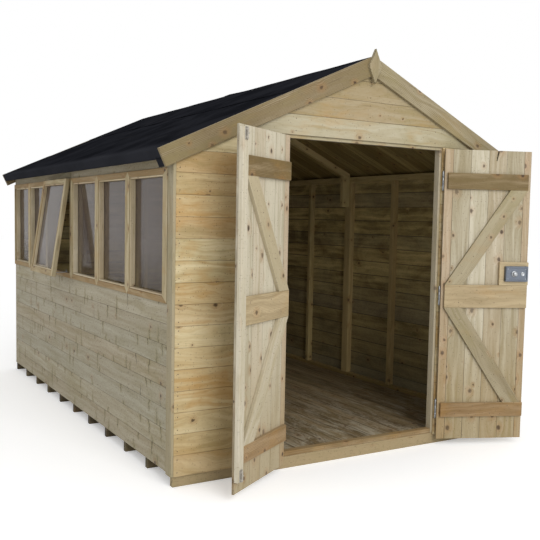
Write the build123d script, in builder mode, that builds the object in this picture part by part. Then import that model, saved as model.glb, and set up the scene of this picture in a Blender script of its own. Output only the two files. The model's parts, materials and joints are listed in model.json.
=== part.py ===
from build123d import *
import os
from math import cos, radians, sin, tan

# Wooden garden shed with an apex roof, a strip of side windows and a pair of
# ledged and braced doors. Millimetres. The origin is on the ground at the middle
# of the floor, +X is to the right seen from the doors, +Y runs to the back.

os.makedirs("parts", exist_ok=True)

# Walls, measured over the cladding
shed_width = 2400.0
shed_length = 3600.0
wall_height = 1765.0
cladding = 12.0
stud_width = 40.0
stud_depth = 45.0
side_bays = 6
end_bays = 4
plate_height = 28.0
joint_gap = 2.0

# Floor
joist_height = 57.0
joist_width = 32.0
joist_count = 11
deck_thickness = 12.0

# Roof
roof_pitch = 24.9
roof_board = 12.0
felt_thickness = 3.0
eaves_overhang = 105.0
roof_front_overhang = 5.0
roof_back_overhang = 24.0
rafter_depth = 45.0
ridge_gap = 2.0
eave_batten_width = 28.0
eave_batten_depth = 40.0
side_felt_top = 500.0
ridge_felt_reach = 575.0
felt_step = 9.0
bargeboard_depth = 100.0
bargeboard_thickness = 20.0
finial_half_width = 46.0
finial_height = 200.0
finial_above_ridge = 38.0
finial_thickness = 18.0
truss_block_width = 70.0
truss_block_drop = 252.0

# Doorway and corner strips
reveal_half_width = 552.0
leaf_overlap = 10.0
leaf_edge_gap = 5.0
header_rise = 77.0
header_depth = 45.0
header_lap = 8.0
leaf_bottom = 40.0
gable_edge_gap = 10.0
leaf_clearance = 5.5
corner_strip_width = 70.0
corner_strip_thickness = 16.0

# Door leaves
left_open_angle = 147.0
right_open_angle = 156.4
leaf_thickness = 12.0
meeting_gap = 6.0
pin_stand_off = 8.0
ledge_thickness = 20.0
ledge_hinge_inset = 18.0
ledge_free_inset = 4.0
top_ledge_free_inset = 22.0
ledge_end_inset = 144.0
top_ledge_height = 99.0
middle_ledge_height = 143.0
middle_ledge_share = 0.5
bottom_ledge_height = 89.0
brace_cut = 115.0
closing_strip_width = 54.0
closing_strip_thickness = 24.0
closing_strip_clearance = 5.5

# Door furniture
knuckle_radius = 6.0
knuckle_height = 44.0
lug_height = 30.0
knuckle_clearance = 0.4
strap_thickness = 3.0
strap_length = 360.0
strap_root_height = 40.0
strap_tip_height = 22.0
hinge_plate_width = 46.0
hinge_plate_height = 120.0
lock_block_width = 190.0
lock_block_height = 145.0
lock_width = 158.0
lock_height = 96.0
lock_edge_inset = 5.0
lock_thickness = 24.0
lock_corner_radius = 5.0
lock_knob_radius = 15.0
lock_knob_length = 20.0
lock_knob_inset = 95.0
bolt_plate_width = 30.0
bolt_plate_height = 62.0
bolt_plate_thickness = 3.0
bolt_rod_radius = 6.0

# Window strip in the left wall
window_head_drop = 113.0
window_height = 702.0
window_rail = 35.0
window_proud = 12.0
window_depth = 40.0
window_lead = 84.0
window_stile = 65.0
window_mullion = 70.0
window_middle_post = 74.0
window_end_stile = 14.0
casement_light_width = 588.0
pane_thickness = 4.0
window_stud_width = 44.0

# Top hung casement, propped open
casement_angle = 8.5
casement_lap = 20.0
casement_top_drop = 4.0
casement_foot_lift = 6.0
casement_stile = 43.0
casement_top_rail = 31.0
casement_bottom_rail = 40.0
casement_thickness = 28.0
stay_inset = 90.0
stay_width = 20.0
stay_thickness = 4.0
stay_tail = 17.0
stay_tip_radius = 6.0
stay_clearance = 0.3

# Places that follow from the sizes above
half_width = shed_width / 2
half_length = shed_length / 2
frame_x = half_width - cladding
frame_y = half_length - cladding
inner_x = frame_x - stud_depth
inner_y = frame_y - stud_depth
deck_top = joist_height + deck_thickness
plate_top = deck_top + plate_height
pitch = radians(roof_pitch)
ridge_z = wall_height + half_width * tan(pitch)
roof_front_y = -half_length - roof_front_overhang
roof_back_y = half_length + roof_back_overhang
roof_length = roof_back_y - roof_front_y
roof_skin = roof_board + felt_thickness
eave_s = (half_width + eaves_overhang - roof_skin * sin(pitch)) / cos(pitch) - felt_thickness
bargeboard_top = roof_skin + felt_thickness
side_plate_top = wall_height
side_plate_bottom = side_plate_top - stud_depth
header_bottom = wall_height + header_rise
leaf_top = header_bottom + header_lap
leaf_hinge_x = reveal_half_width + leaf_overlap
leaf_free_x = meeting_gap / 2
leaf_width = leaf_hinge_x - leaf_free_x
doorway_edge_x = leaf_hinge_x + leaf_edge_gap
gable_bottom = leaf_top + gable_edge_gap
pin_x = leaf_hinge_x + leaf_edge_gap / 2
leaf_inner_y = -frame_y - leaf_clearance
pin_y = leaf_inner_y - leaf_thickness - pin_stand_off
leaf_near = pin_x - leaf_hinge_x
leaf_far = pin_x - leaf_free_x
leaf_inner_depth = pin_stand_off + leaf_thickness
ledge_near = leaf_near + ledge_hinge_inset
bottom_ledge_bottom = leaf_bottom + ledge_end_inset
bottom_ledge_top = bottom_ledge_bottom + bottom_ledge_height
top_ledge_bottom = leaf_top - ledge_end_inset - top_ledge_height
middle_ledge_middle = leaf_bottom + (leaf_top - leaf_bottom) * middle_ledge_share
middle_ledge_bottom = middle_ledge_middle - middle_ledge_height / 2
middle_ledge_top = middle_ledge_bottom + middle_ledge_height
lock_block_top = middle_ledge_top + lock_block_height
lock_middle = middle_ledge_top + lock_block_height / 2
window_top = wall_height - window_head_drop
window_bottom = window_top - window_height
window_face_x = -half_width - window_proud
window_back_x = window_face_x + window_depth
window_far_y = inner_y - joint_gap
truss_block_foot = wall_height - truss_block_drop


def roof_z(x, normal=0.0):
    """Height of the plane that lies `normal` above the underside of the roof boards, at x from the ridge."""
    return ridge_z - abs(x) * tan(pitch) + normal / cos(pitch)


def slope_plane(y):
    """Plane across the right slope: local x runs down the slope from the ridge, local y is its normal."""
    return Plane(origin=(0, y, ridge_z), x_dir=(cos(pitch), 0, -sin(pitch)), z_dir=(0, -1, 0))


def end_plane(y):
    """Upright plane across the shed: local x is +X, local y is +Z and the normal looks to the front."""
    return Plane(origin=(0, y, 0), x_dir=(1, 0, 0), z_dir=(0, -1, 0))


def side_plane(x):
    """Upright plane along the shed: local x is +Y, local y is +Z and the normal is +X."""
    return Plane(origin=(x, 0, 0), x_dir=(0, 1, 0), z_dir=(1, 0, 0))


def span(x0, y0, x1, y1):
    """Rectangle between two corners, added to the sketch that is open."""
    with Locations(((x0 + x1) / 2, (y0 + y1) / 2)):
        Rectangle(abs(x1 - x0), abs(y1 - y0))


def outline(*points):
    """Filled polygon through the points as they stand, added to the sketch that is open."""
    Polygon(*points, align=None)


def save(builder, label):
    """Name a finished piece and write it to its own file."""
    builder.part.label = label
    export_step(builder.part, f"parts/{label}.step")


# Floor: joists across the shed under one boarded deck
joist_pitch = (2 * frame_y - joist_width) / (joist_count - 1)
with BuildPart() as floor_joists:
    with BuildSketch():
        with GridLocations(shed_width, joist_pitch, 1, joist_count):
            Rectangle(shed_width, joist_width)
    extrude(amount=joist_height)
save(floor_joists, "floor_joists")

with BuildPart() as floor_deck:
    with BuildSketch(Plane.XY.offset(joist_height)):
        Rectangle(2 * frame_x, 2 * frame_y)
    extrude(amount=deck_thickness)
save(floor_deck, "floor_deck")

# Wall framing: plates on the deck, posts and studs on the plates, plates under the eaves
corner_inner_x = frame_x - stud_width
door_post_x = reveal_half_width + stud_width
with BuildPart() as wall_bottom_plates:
    with BuildSketch(Plane.XY.offset(deck_top)):
        for side in (-1, 1):
            span(side * inner_x, -inner_y + joint_gap, side * frame_x, inner_y - joint_gap)
            span(side * (door_post_x + joint_gap), -frame_y, side * (corner_inner_x - joint_gap), -inner_y)
        span(-corner_inner_x + joint_gap, inner_y, corner_inner_x - joint_gap, frame_y)
    extrude(amount=plate_height)
save(wall_bottom_plates, "wall_bottom_plates")

with BuildPart() as door_sill:
    with BuildSketch(Plane.XY.offset(deck_top)):
        span(-reveal_half_width, -frame_y, reveal_half_width, -inner_y)
    extrude(amount=plate_height)
save(door_sill, "door_sill")

with BuildPart() as front_posts:
    with BuildSketch(end_plane(-inner_y)):
        for side in (-1, 1):
            span(side * corner_inner_x, deck_top, side * frame_x, roof_z(frame_x, -rafter_depth))
            span(side * reveal_half_width, deck_top, side * door_post_x, roof_z(door_post_x, -rafter_depth))
    extrude(amount=stud_depth)
save(front_posts, "front_posts")

with BuildPart() as door_header:
    with BuildSketch(end_plane(-inner_y)):
        span(-reveal_half_width, header_bottom, reveal_half_width, header_bottom + header_depth)
    extrude(amount=stud_depth)
save(door_header, "door_header")

with BuildPart() as back_studs:
    with BuildSketch(end_plane(frame_y)):
        for side in (-1, 1):
            span(side * corner_inner_x, deck_top, side * frame_x, roof_z(frame_x, -rafter_depth))
        for place in (-shed_width / end_bays, 0, shed_width / end_bays):
            top = roof_z(abs(place) + stud_width / 2, -rafter_depth)
            span(place - stud_width / 2, plate_top, place + stud_width / 2, top)
    extrude(amount=stud_depth)
save(back_studs, "back_studs")

# Window posts run from sill to head. Their places count from the front face towards the back, and
# the fixed lights share evenly what the posts and the casement leave of the wall
mullion_pair = [window_mullion, window_mullion]
post_widths = [window_stile, *mullion_pair, window_middle_post, *mullion_pair]
fixed_run = shed_length - window_lead - sum(post_widths) - window_end_stile - casement_light_width
light_width = fixed_run / (len(post_widths) - 1)
lights = [light_width, light_width, light_width, casement_light_width, light_width, light_width]
posts = []
light_spans = []
reach = -half_length + window_lead
for post, light in zip(post_widths, lights):
    posts.append((reach, reach + post))
    light_spans.append((reach + post, reach + post + light))
    reach += post + light
posts.append((reach, half_length))
casement_near, casement_far = light_spans[3]

# Studs stand every bay on the right wall and, notched for the window, behind each window post on the left
with BuildPart() as side_studs:
    with BuildSketch(side_plane(inner_x)):
        for bay in (-2, -1, 1, 2):
            middle = bay * shed_length / side_bays
            span(middle - stud_width / 2, plate_top, middle + stud_width / 2, side_plate_bottom)
        span(-stud_width, plate_top, stud_width, side_plate_bottom)
    extrude(amount=stud_depth)
    with BuildSketch(side_plane(-frame_x)):
        for near, far in posts[1:-1]:
            middle = (near + far) / 2
            half = window_stud_width / 2
            span(middle - half, plate_top, middle + half, side_plate_bottom)
    extrude(amount=stud_depth)
    with BuildSketch(side_plane(-frame_x)):
        for near, far in posts[1:-1]:
            span(near, window_bottom, far, window_top)
    extrude(amount=window_back_x + frame_x, mode=Mode.SUBTRACT)
save(side_studs, "side_studs")

with BuildPart() as wall_top_plates:
    with BuildSketch(Plane.XY.offset(side_plate_bottom)):
        for side in (-1, 1):
            span(side * inner_x, -inner_y + joint_gap, side * frame_x, inner_y - joint_gap)
    extrude(amount=stud_depth)
save(wall_top_plates, "wall_top_plates")

# Cladding of the front wall: a panel each side of the doorway and the gable over it
shoulder_x = half_width - (gable_bottom - wall_height) / tan(pitch)
for side, name in ((-1, "front_left_panel"), (1, "front_right_panel")):
    with BuildPart() as front_panel:
        with BuildSketch(end_plane(-frame_y)):
            outline(
                (side * half_width, joist_height),
                (side * doorway_edge_x, joist_height),
                (side * doorway_edge_x, gable_bottom),
                (side * shoulder_x, gable_bottom),
                (side * half_width, wall_height),
            )
        extrude(amount=cladding)
    save(front_panel, name)

with BuildPart() as front_gable_panel:
    with BuildSketch(end_plane(-frame_y)):
        outline((-shoulder_x, gable_bottom), (shoulder_x, gable_bottom), (0, ridge_z))
    extrude(amount=cladding)
save(front_gable_panel, "front_gable_panel")

with BuildPart() as back_panel:
    with BuildSketch(end_plane(half_length)):
        outline(
            (-frame_x, joist_height),
            (frame_x, joist_height),
            (frame_x, roof_z(frame_x)),
            (0, ridge_z),
            (-frame_x, roof_z(frame_x)),
        )
    extrude(amount=cladding)
save(back_panel, "back_panel")

# Cladding of the side walls, from behind the front wall past the back wall: the left one is open
# along its window strip
window_start = -half_length + window_lead
with BuildPart() as left_lower_panel:
    with BuildSketch(side_plane(-half_width)):
        span(-frame_y, joist_height, half_length, window_bottom)
    extrude(amount=cladding)
save(left_lower_panel, "left_lower_panel")

with BuildPart() as left_upper_panel:
    with BuildSketch(side_plane(-half_width)):
        outline(
            (-frame_y, window_bottom),
            (window_start, window_bottom),
            (window_start, window_top),
            (half_length, window_top),
            (half_length, wall_height),
            (-frame_y, wall_height),
        )
    extrude(amount=cladding)
save(left_upper_panel, "left_upper_panel")

with BuildPart() as right_panel:
    with BuildSketch(side_plane(frame_x)):
        span(-frame_y, joist_height, half_length, wall_height)
    extrude(amount=cladding)
save(right_panel, "right_panel")

# Corner strips lie on the side faces at the front and on the back face behind
strip_top = roof_z(half_width + corner_strip_thickness, -rafter_depth)
with BuildPart() as corner_strips:
    with BuildSketch(Plane.XY.offset(joist_height)):
        for side in (-1, 1):
            outer_x = side * (half_width + corner_strip_thickness)
            span(side * half_width, -half_length, outer_x, -half_length + corner_strip_width)
            inner_edge = side * (half_width - corner_strip_width)
            span(side * half_width, half_length, inner_edge, half_length + corner_strip_thickness)
    extrude(amount=strip_top - joist_height)
save(corner_strips, "corner_strips")

# Window strip: posts, rails between them and panes set flush with their inner faces. In front of
# the back wall's stud the strip is only as deep as the cladding allows
shallow_depth = -frame_x - window_face_x
with BuildPart() as window_posts:
    with BuildSketch(side_plane(window_face_x)):
        for near, far in posts[:-1]:
            span(near, window_bottom, far, window_top)
    extrude(amount=window_depth)
    with BuildSketch(side_plane(window_face_x)):
        near, far = posts[-1]
        span(near, window_bottom, far, window_top)
    extrude(amount=shallow_depth)
save(window_posts, "window_posts")

with BuildPart() as window_rails:
    for depth, limit in ((shallow_depth, half_length), (window_depth, window_far_y)):
        with BuildSketch(side_plane(window_face_x)):
            for near, far in light_spans:
                end = min(far, limit)
                span(near, window_bottom, end, window_bottom + window_rail)
                span(near, window_top - window_rail, end, window_top)
        extrude(amount=depth)
save(window_rails, "window_rails")

# The casement hangs from its top edge on the window's face and leans out at the foot
lean = radians(casement_angle)
casement_top = window_top - casement_top_drop
casement_height = casement_top - window_bottom - casement_foot_lift
casement_half = (casement_far - casement_near) / 2 + casement_lap
casement_plane = Plane(
    origin=(window_face_x, (casement_near + casement_far) / 2, casement_top),
    x_dir=(0, -1, 0),
    z_dir=(-cos(lean), 0, sin(lean)),
)
casement_clear_half = casement_half - casement_stile
casement_clear_foot = casement_bottom_rail - casement_height
with BuildPart() as casement_stiles:
    with BuildSketch(casement_plane):
        for side in (-1, 1):
            span(side * casement_half, 0, side * casement_clear_half, -casement_height)
    extrude(amount=casement_thickness)
save(casement_stiles, "casement_stiles")

with BuildPart() as casement_rails:
    with BuildSketch(casement_plane):
        span(-casement_clear_half, 0, casement_clear_half, -casement_top_rail)
        span(-casement_clear_half, casement_clear_foot, casement_clear_half, -casement_height)
    extrude(amount=casement_thickness)
save(casement_rails, "casement_rails")

pane_bottom = window_bottom + window_rail
pane_top = window_top - window_rail
with BuildPart() as window_panes:
    with BuildSketch(side_plane(window_back_x)):
        for near, far in light_spans:
            if near != casement_near:
                span(near, pane_bottom, min(far, window_far_y), pane_top)
    extrude(amount=-pane_thickness)
    with BuildSketch(casement_plane):
        span(-casement_clear_half, -casement_top_rail, casement_clear_half, casement_clear_foot)
    extrude(amount=pane_thickness)
save(window_panes, "window_panes")

# Casement stay: a flat bar from the sill rail to the inside of the leaning casement
stay_bottom = window_bottom + window_rail
stay_reach = (casement_top - stay_bottom - stay_thickness) * tan(lean) - stay_clearance
stay_near = casement_near + stay_inset
with BuildPart() as window_stay:
    with BuildSketch(Plane.XY.offset(stay_bottom)):
        span(window_face_x + stay_tail, stay_near, window_face_x - stay_reach, stay_near + stay_width)
    extrude(amount=stay_thickness)
    fillet(window_stay.edges().filter_by(Axis.Z).group_by(Axis.X)[-1], stay_tip_radius)
save(window_stay, "window_stay")

# Roof: boarded panels, battens under their eaves and rafters inside both gables and at mid length
ridge_clear_s = ridge_gap / 2 / cos(pitch)
with BuildPart() as roof_panels:
    with BuildSketch(slope_plane(roof_back_y)):
        outline(
            (ridge_clear_s, 0),
            (eave_s, 0),
            (eave_s, roof_board),
            (ridge_clear_s - roof_board * tan(pitch), roof_board),
        )
    extrude(amount=roof_length)
    mirror(about=Plane.YZ)
save(roof_panels, "roof_panels")

with BuildPart() as eave_battens:
    with BuildSketch(slope_plane(roof_back_y)):
        span(eave_s - eave_batten_width, -eave_batten_depth, eave_s, 0)
    extrude(amount=roof_length)
    mirror(about=Plane.YZ)
save(eave_battens, "eave_battens")

truss_front_y = -stud_width / 2
rafter_runs = (
    (frame_y, frame_x),
    (truss_front_y + stud_width, inner_x),
    (-frame_y + stud_width, frame_x),
)
with BuildPart() as roof_rafters:
    for back_y, foot_x in rafter_runs:
        with BuildSketch(end_plane(back_y)):
            outline(
                (ridge_gap / 2, roof_z(ridge_gap / 2)),
                (foot_x, roof_z(foot_x)),
                (foot_x, roof_z(foot_x, -rafter_depth)),
                (ridge_gap / 2, roof_z(ridge_gap / 2, -rafter_depth)),
            )
        extrude(amount=stud_width)
    mirror(about=Plane.YZ)
save(roof_rafters, "roof_rafters")

block_x = inner_x - truss_block_width
with BuildPart() as truss_blocks:
    with BuildSketch(end_plane(truss_front_y + stud_width)):
        outline(
            (inner_x, truss_block_foot),
            (inner_x, roof_z(inner_x, -rafter_depth)),
            (block_x, roof_z(block_x, -rafter_depth)),
            (block_x, truss_block_foot),
        )
    extrude(amount=stud_width)
    mirror(about=Plane.YZ)
save(truss_blocks, "truss_blocks")

# Felt: a course each side that folds down over the eave, and one course over the ridge
felt_top = roof_board + felt_thickness
lap_top = felt_top + felt_thickness
with BuildPart() as felt_side_courses:
    with BuildSketch(slope_plane(roof_back_y)):
        outline(
            (side_felt_top, roof_board),
            (eave_s, roof_board),
            (eave_s, -eave_batten_depth),
            (eave_s + felt_thickness, -eave_batten_depth),
            (eave_s + felt_thickness, felt_top),
            (side_felt_top, felt_top),
        )
    extrude(amount=roof_length)
    mirror(about=Plane.YZ)
save(felt_side_courses, "felt_side_courses")

step_s = side_felt_top - felt_step
with BuildPart() as felt_ridge_course:
    with BuildSketch(slope_plane(roof_back_y)):
        outline(
            (-roof_board * tan(pitch), roof_board),
            (step_s, roof_board),
            (side_felt_top, felt_top),
            (ridge_felt_reach, felt_top),
            (ridge_felt_reach, lap_top),
            (side_felt_top, lap_top),
            (step_s, felt_top),
            (-felt_top * tan(pitch), felt_top),
        )
    extrude(amount=roof_length)
    mirror(about=Plane.YZ)
save(felt_ridge_course, "felt_ridge_course")

# Bargeboards close both gable ends of the roof, cut square at the eaves and plumb at the apex
bargeboard_foot = bargeboard_top - bargeboard_depth
bargeboard_back_y = roof_back_y + bargeboard_thickness
for back_y, name in ((roof_front_y, "front_bargeboards"), (bargeboard_back_y, "back_bargeboards")):
    with BuildPart() as bargeboards:
        with BuildSketch(slope_plane(back_y)):
            outline(
                (ridge_clear_s - bargeboard_foot * tan(pitch), bargeboard_foot),
                (eave_s + felt_thickness, bargeboard_foot),
                (eave_s + felt_thickness, bargeboard_top),
                (ridge_clear_s - bargeboard_top * tan(pitch), bargeboard_top),
            )
        extrude(amount=bargeboard_thickness)
        mirror(about=Plane.YZ)
    save(bargeboards, name)

# Diamond finial on the face of the front bargeboards
finial_tip = roof_z(0, bargeboard_top) + finial_above_ridge
finial_middle = finial_tip - finial_height / 2
with BuildPart() as gable_finial:
    with BuildSketch(end_plane(roof_front_y - bargeboard_thickness)):
        outline(
            (0, finial_tip),
            (finial_half_width, finial_middle),
            (0, finial_tip - finial_height),
            (-finial_half_width, finial_middle),
        )
    extrude(amount=finial_thickness)
save(gable_finial, "gable_finial")


# Door leaves: each is drawn in its own frame, with x along the leaf from the hinge pin and y up
def leaf_plane(side, angle, depth):
    """Plane of a leaf that stands open by angle, at a depth inwards from its hinge pin."""
    turn = radians(angle)
    along = (-side * cos(turn), -sin(turn), 0)
    inwards = (-side * sin(turn), cos(turn), 0)
    origin = (side * pin_x + depth * inwards[0], pin_y + depth * inwards[1], 0)
    return Plane(origin=origin, x_dir=along, z_dir=tuple(side * part for part in inwards))


ledges = (
    (bottom_ledge_bottom, bottom_ledge_height),
    (middle_ledge_bottom, middle_ledge_height),
    (top_ledge_bottom, top_ledge_height),
)
hinge_heights = [bottom + height / 2 for bottom, height in ledges]
ledge_depth = leaf_inner_depth + ledge_thickness
lug_bottom_offset = knuckle_height / 2 + knuckle_clearance
strip_near = leaf_far - closing_strip_width
leaves = (
    (-1, "left_door", left_open_angle, (strip_near, strip_near, strip_near)),
    (
        1,
        "right_door",
        right_open_angle,
        (leaf_far - ledge_free_inset, leaf_far - ledge_free_inset, leaf_far - top_ledge_free_inset),
    ),
)

for side, leaf, angle, ledge_ends in leaves:
    brace_far = min(ledge_ends)

    with BuildPart() as leaf_boards:
        with BuildSketch(leaf_plane(side, angle, pin_stand_off)):
            span(leaf_near, leaf_bottom, leaf_far, leaf_top)
        extrude(amount=side * leaf_thickness)
    save(leaf_boards, f"{leaf}_boards")

    with BuildPart() as leaf_ledges:
        with BuildSketch(leaf_plane(side, angle, leaf_inner_depth)):
            for (bottom, height), far in zip(ledges, ledge_ends):
                span(ledge_near, bottom, far, bottom + height)
        extrude(amount=side * ledge_thickness)
    save(leaf_ledges, f"{leaf}_ledges")

    with BuildPart() as leaf_braces:
        with BuildSketch(leaf_plane(side, angle, leaf_inner_depth)):
            outline(
                (ledge_near, middle_ledge_top),
                (ledge_near + brace_cut, middle_ledge_top),
                (brace_far, top_ledge_bottom),
                (brace_far - brace_cut, top_ledge_bottom),
            )
            outline(
                (ledge_near, middle_ledge_bottom),
                (ledge_near + brace_cut, middle_ledge_bottom),
                (brace_far, bottom_ledge_top),
                (brace_far - brace_cut, bottom_ledge_top),
            )
        extrude(amount=side * ledge_thickness)
    save(leaf_braces, f"{leaf}_braces")

    # Tapered straps on the outer face, each ending in the knuckle that turns on the pin
    with BuildPart() as leaf_hinges:
        with BuildSketch(leaf_plane(side, angle, pin_stand_off - strap_thickness)):
            for middle in hinge_heights:
                outline(
                    (0, middle - strap_root_height / 2),
                    (strap_length, middle - strap_tip_height / 2),
                    (strap_length, middle + strap_tip_height / 2),
                    (0, middle + strap_root_height / 2),
                )
        extrude(amount=side * strap_thickness)
        for middle in hinge_heights:
            with BuildSketch(Plane.XY.offset(middle - knuckle_height / 2)):
                with Locations((side * pin_x, pin_y)):
                    Circle(knuckle_radius)
            extrude(amount=knuckle_height)
    save(leaf_hinges, f"{leaf}_hinges")

# Fixed halves of the hinges: a plate on the cladding with a lug above and below each knuckle
plate_near = pin_x + knuckle_radius
with BuildPart() as hinge_plates:
    for side in (-1, 1):
        with BuildSketch(end_plane(-half_length)):
            for middle in hinge_heights:
                half = hinge_plate_height / 2
                span(side * plate_near, middle - half, side * (plate_near + hinge_plate_width), middle + half)
        extrude(amount=strap_thickness)
        for middle in hinge_heights:
            for foot in (middle + lug_bottom_offset, middle - lug_bottom_offset - lug_height):
                with BuildSketch(Plane.XY.offset(foot)):
                    with Locations((side * pin_x, pin_y)):
                        Circle(knuckle_radius)
                    span(side * pin_x, pin_y, side * (plate_near + strap_thickness), pin_y + knuckle_radius)
                    span(side * plate_near, pin_y, side * (plate_near + strap_thickness), -half_length)
                extrude(amount=lug_height)
save(hinge_plates, "hinge_plates")

# Left leaf: stiff strip down the meeting edge, with a small bolt at its head and foot
closing_foot = plate_top + closing_strip_clearance
closing_head = header_bottom - closing_strip_clearance
with BuildPart() as left_door_closing_strip:
    with BuildSketch(leaf_plane(-1, left_open_angle, leaf_inner_depth)):
        span(strip_near, closing_foot, leaf_far, closing_head)
    extrude(amount=-closing_strip_thickness)
save(left_door_closing_strip, "left_door_closing_strip")

bolt_x = leaf_far - closing_strip_width / 2
bolt_depth = leaf_inner_depth + closing_strip_thickness
bolt_feet = (closing_foot, closing_head - bolt_plate_height)
with BuildPart() as left_door_bolts:
    with BuildSketch(leaf_plane(-1, left_open_angle, bolt_depth)):
        for foot in bolt_feet:
            span(bolt_x - bolt_plate_width / 2, foot, bolt_x + bolt_plate_width / 2, foot + bolt_plate_height)
    extrude(amount=-bolt_plate_thickness)
    for foot in bolt_feet:
        rod_plane = leaf_plane(-1, left_open_angle, bolt_depth + bolt_plate_thickness / 2 + bolt_rod_radius)
        rod_at = rod_plane.from_local_coords(Vector(bolt_x, foot, 0))
        with BuildSketch(Plane.XY.offset(foot)):
            with Locations((rod_at.X, rod_at.Y)):
                Circle(bolt_rod_radius)
        extrude(amount=bolt_plate_height)
save(left_door_bolts, "left_door_bolts")

# Right leaf: rim lock on a wooden block at the meeting edge
block_near = leaf_far - lock_block_width
with BuildPart() as right_door_lock_block:
    with BuildSketch(leaf_plane(1, right_open_angle, leaf_inner_depth)):
        span(block_near, middle_ledge_top, leaf_far, lock_block_top)
    extrude(amount=ledge_thickness)
save(right_door_lock_block, "right_door_lock_block")

lock_far = leaf_far - lock_edge_inset
with BuildPart() as right_door_lock:
    with BuildSketch(leaf_plane(1, right_open_angle, ledge_depth)):
        span(
            lock_far - lock_width,
            lock_middle - lock_height / 2,
            lock_far,
            lock_middle + lock_height / 2,
        )
    extrude(amount=lock_thickness)
    fillet(right_door_lock.edges().filter_by(Axis.Z), lock_corner_radius)
    with BuildSketch(leaf_plane(1, right_open_angle, ledge_depth + lock_thickness)):
        with Locations((lock_far - lock_knob_inset, lock_middle)):
            Circle(lock_knob_radius)
    extrude(amount=lock_knob_length)
save(right_door_lock, "right_door_lock")
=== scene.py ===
import json
import zlib
from math import pi

import bpy
import numpy as np
from bpy.props import FloatProperty, FloatVectorProperty, PointerProperty
from mathutils import Matrix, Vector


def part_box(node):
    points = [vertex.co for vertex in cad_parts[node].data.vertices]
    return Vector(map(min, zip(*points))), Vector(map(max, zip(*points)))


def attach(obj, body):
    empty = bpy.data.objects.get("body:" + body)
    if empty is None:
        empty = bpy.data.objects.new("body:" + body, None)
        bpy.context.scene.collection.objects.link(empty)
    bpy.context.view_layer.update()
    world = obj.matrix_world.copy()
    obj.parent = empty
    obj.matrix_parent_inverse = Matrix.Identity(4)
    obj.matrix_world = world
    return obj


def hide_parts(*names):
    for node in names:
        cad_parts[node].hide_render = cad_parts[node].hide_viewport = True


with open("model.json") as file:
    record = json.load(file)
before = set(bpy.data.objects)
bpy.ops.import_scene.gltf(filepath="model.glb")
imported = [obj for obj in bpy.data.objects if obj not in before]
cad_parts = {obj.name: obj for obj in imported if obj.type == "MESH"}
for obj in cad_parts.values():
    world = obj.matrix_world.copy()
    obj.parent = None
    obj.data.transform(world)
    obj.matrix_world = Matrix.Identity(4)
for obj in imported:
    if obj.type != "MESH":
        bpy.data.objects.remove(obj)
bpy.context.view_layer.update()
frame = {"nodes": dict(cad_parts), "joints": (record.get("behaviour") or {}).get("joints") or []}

bl_info = {
    "name": "Timber garden shed",
    "version": (1, 0, 0),
    "blender": (4, 5, 0),
    "location": "View3D > Sidebar > Shed",
    "description": "Boards, timbers, felt, glazing and ironwork of a garden shed round its packed frame",
    "category": "Object",
}

X, Y, Z = np.eye(3)
MIRROR = np.array((-1.0, 1.0, 1.0))
UPRIGHT = np.eye(3)[[1, 2, 0]]
NEAR = 1e-4

# Points round an edge of a timber and a corner of a plate, and the greatest distance between a timber's rings
EDGE_POINTS, PLATE_POINTS = 3, 4
RING_SPACING = 0.22

# Rounding of a timber's ends and of split, mitred, beaded and plated edges
END_ROUND = 0.0016
SHARP, MITRE_EDGE, BEAD_EDGE, EASE = 0.0002, 0.0003, 0.003, 0.0008

# Thin strip over the deck's edge: its thickness, its lap at both ends and below, and the radius of its edges
STRIP_THICKNESS, STRIP_LAP, STRIP_BELOW, STRIP_EDGE = 0.0015, 0.012, 0.001, 0.0004

# Greatest depth of a pane that stands upright
PANE_DEPTH = 0.01

# Nails: least distance from a board's end, place across it as a share, end rows, and heads' rise as a share
NAIL_MARGIN, NAIL_SPREAD, END_NAIL = 0.008, 0.3, 0.02
NAIL_RISE, DOOR_NAIL_RISE = 0.35, 0.3
LEDGE_STAGGER = 0.27
BRACE_NAILS = (0.12, 0.3, 0.5, 0.7, 0.88)

# Felt: first nails along the eaves and the ridge, their distance from the edges and rise, and the flap at the front
EAVE_NAIL_START, EAVE_NAIL_LEVEL = 0.06, 0.022
RIDGE_NAIL_START, RIDGE_NAIL_EDGE = 0.05, 0.025
FELT_NAIL_RISE = 0.001
FLAP_START, FLAP_TUCK, FLAP_DROP = 0.002, 0.01, 0.04

# Strip of felt over the back bargeboards: its thickness, its lap, and how far it stops short at the eaves and behind
BACK_STRIP, BACK_LAP, BACK_EAVE, BACK_INSET = 0.002, 0.01, 0.003, 0.0006

# Ironwork: rise of a screw's head, half of the gap for a strap's knuckle, and profiles as radius and height
SCREW_RISE = 0.0016
KNUCKLE_GAP = 0.0232
HEAD = np.array(((1, -0.4), (1, 0.35), (0.72, 0.85), (0.3, 1.0)))
STAY_PEG = ((0.0045, 0), (0.0045, 0.003), (0.0028, 0.004), (0.0028, 0.014), (0.0036, 0.016), (0.0015, 0.018))
BOLT_KNOB = ((0.0022, 0), (0.0022, 0.006), (0.0042, 0.0075), (0.0048, 0.011), (0.003, 0.0145), (0.001, 0.015))
LOCK_ROSE = ((0.019, 0), (0.019, 0.0018), (0.017, 0.003), (0.009, 0.004), (0.0085, 0.008), (0.012, 0.0105))
LOCK_BALL = ((0.0148, 0.014), (0.015, 0.018), (0.0132, 0.0222), (0.008, 0.0238), (0.002, 0.024))
KEY_DISC = ((0.0125, 0), (0.0125, 0.002), (0.0115, 0.003), (0.0075, 0.003), (0.0065, 0.0022), (0.002, 0.0022))

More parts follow.
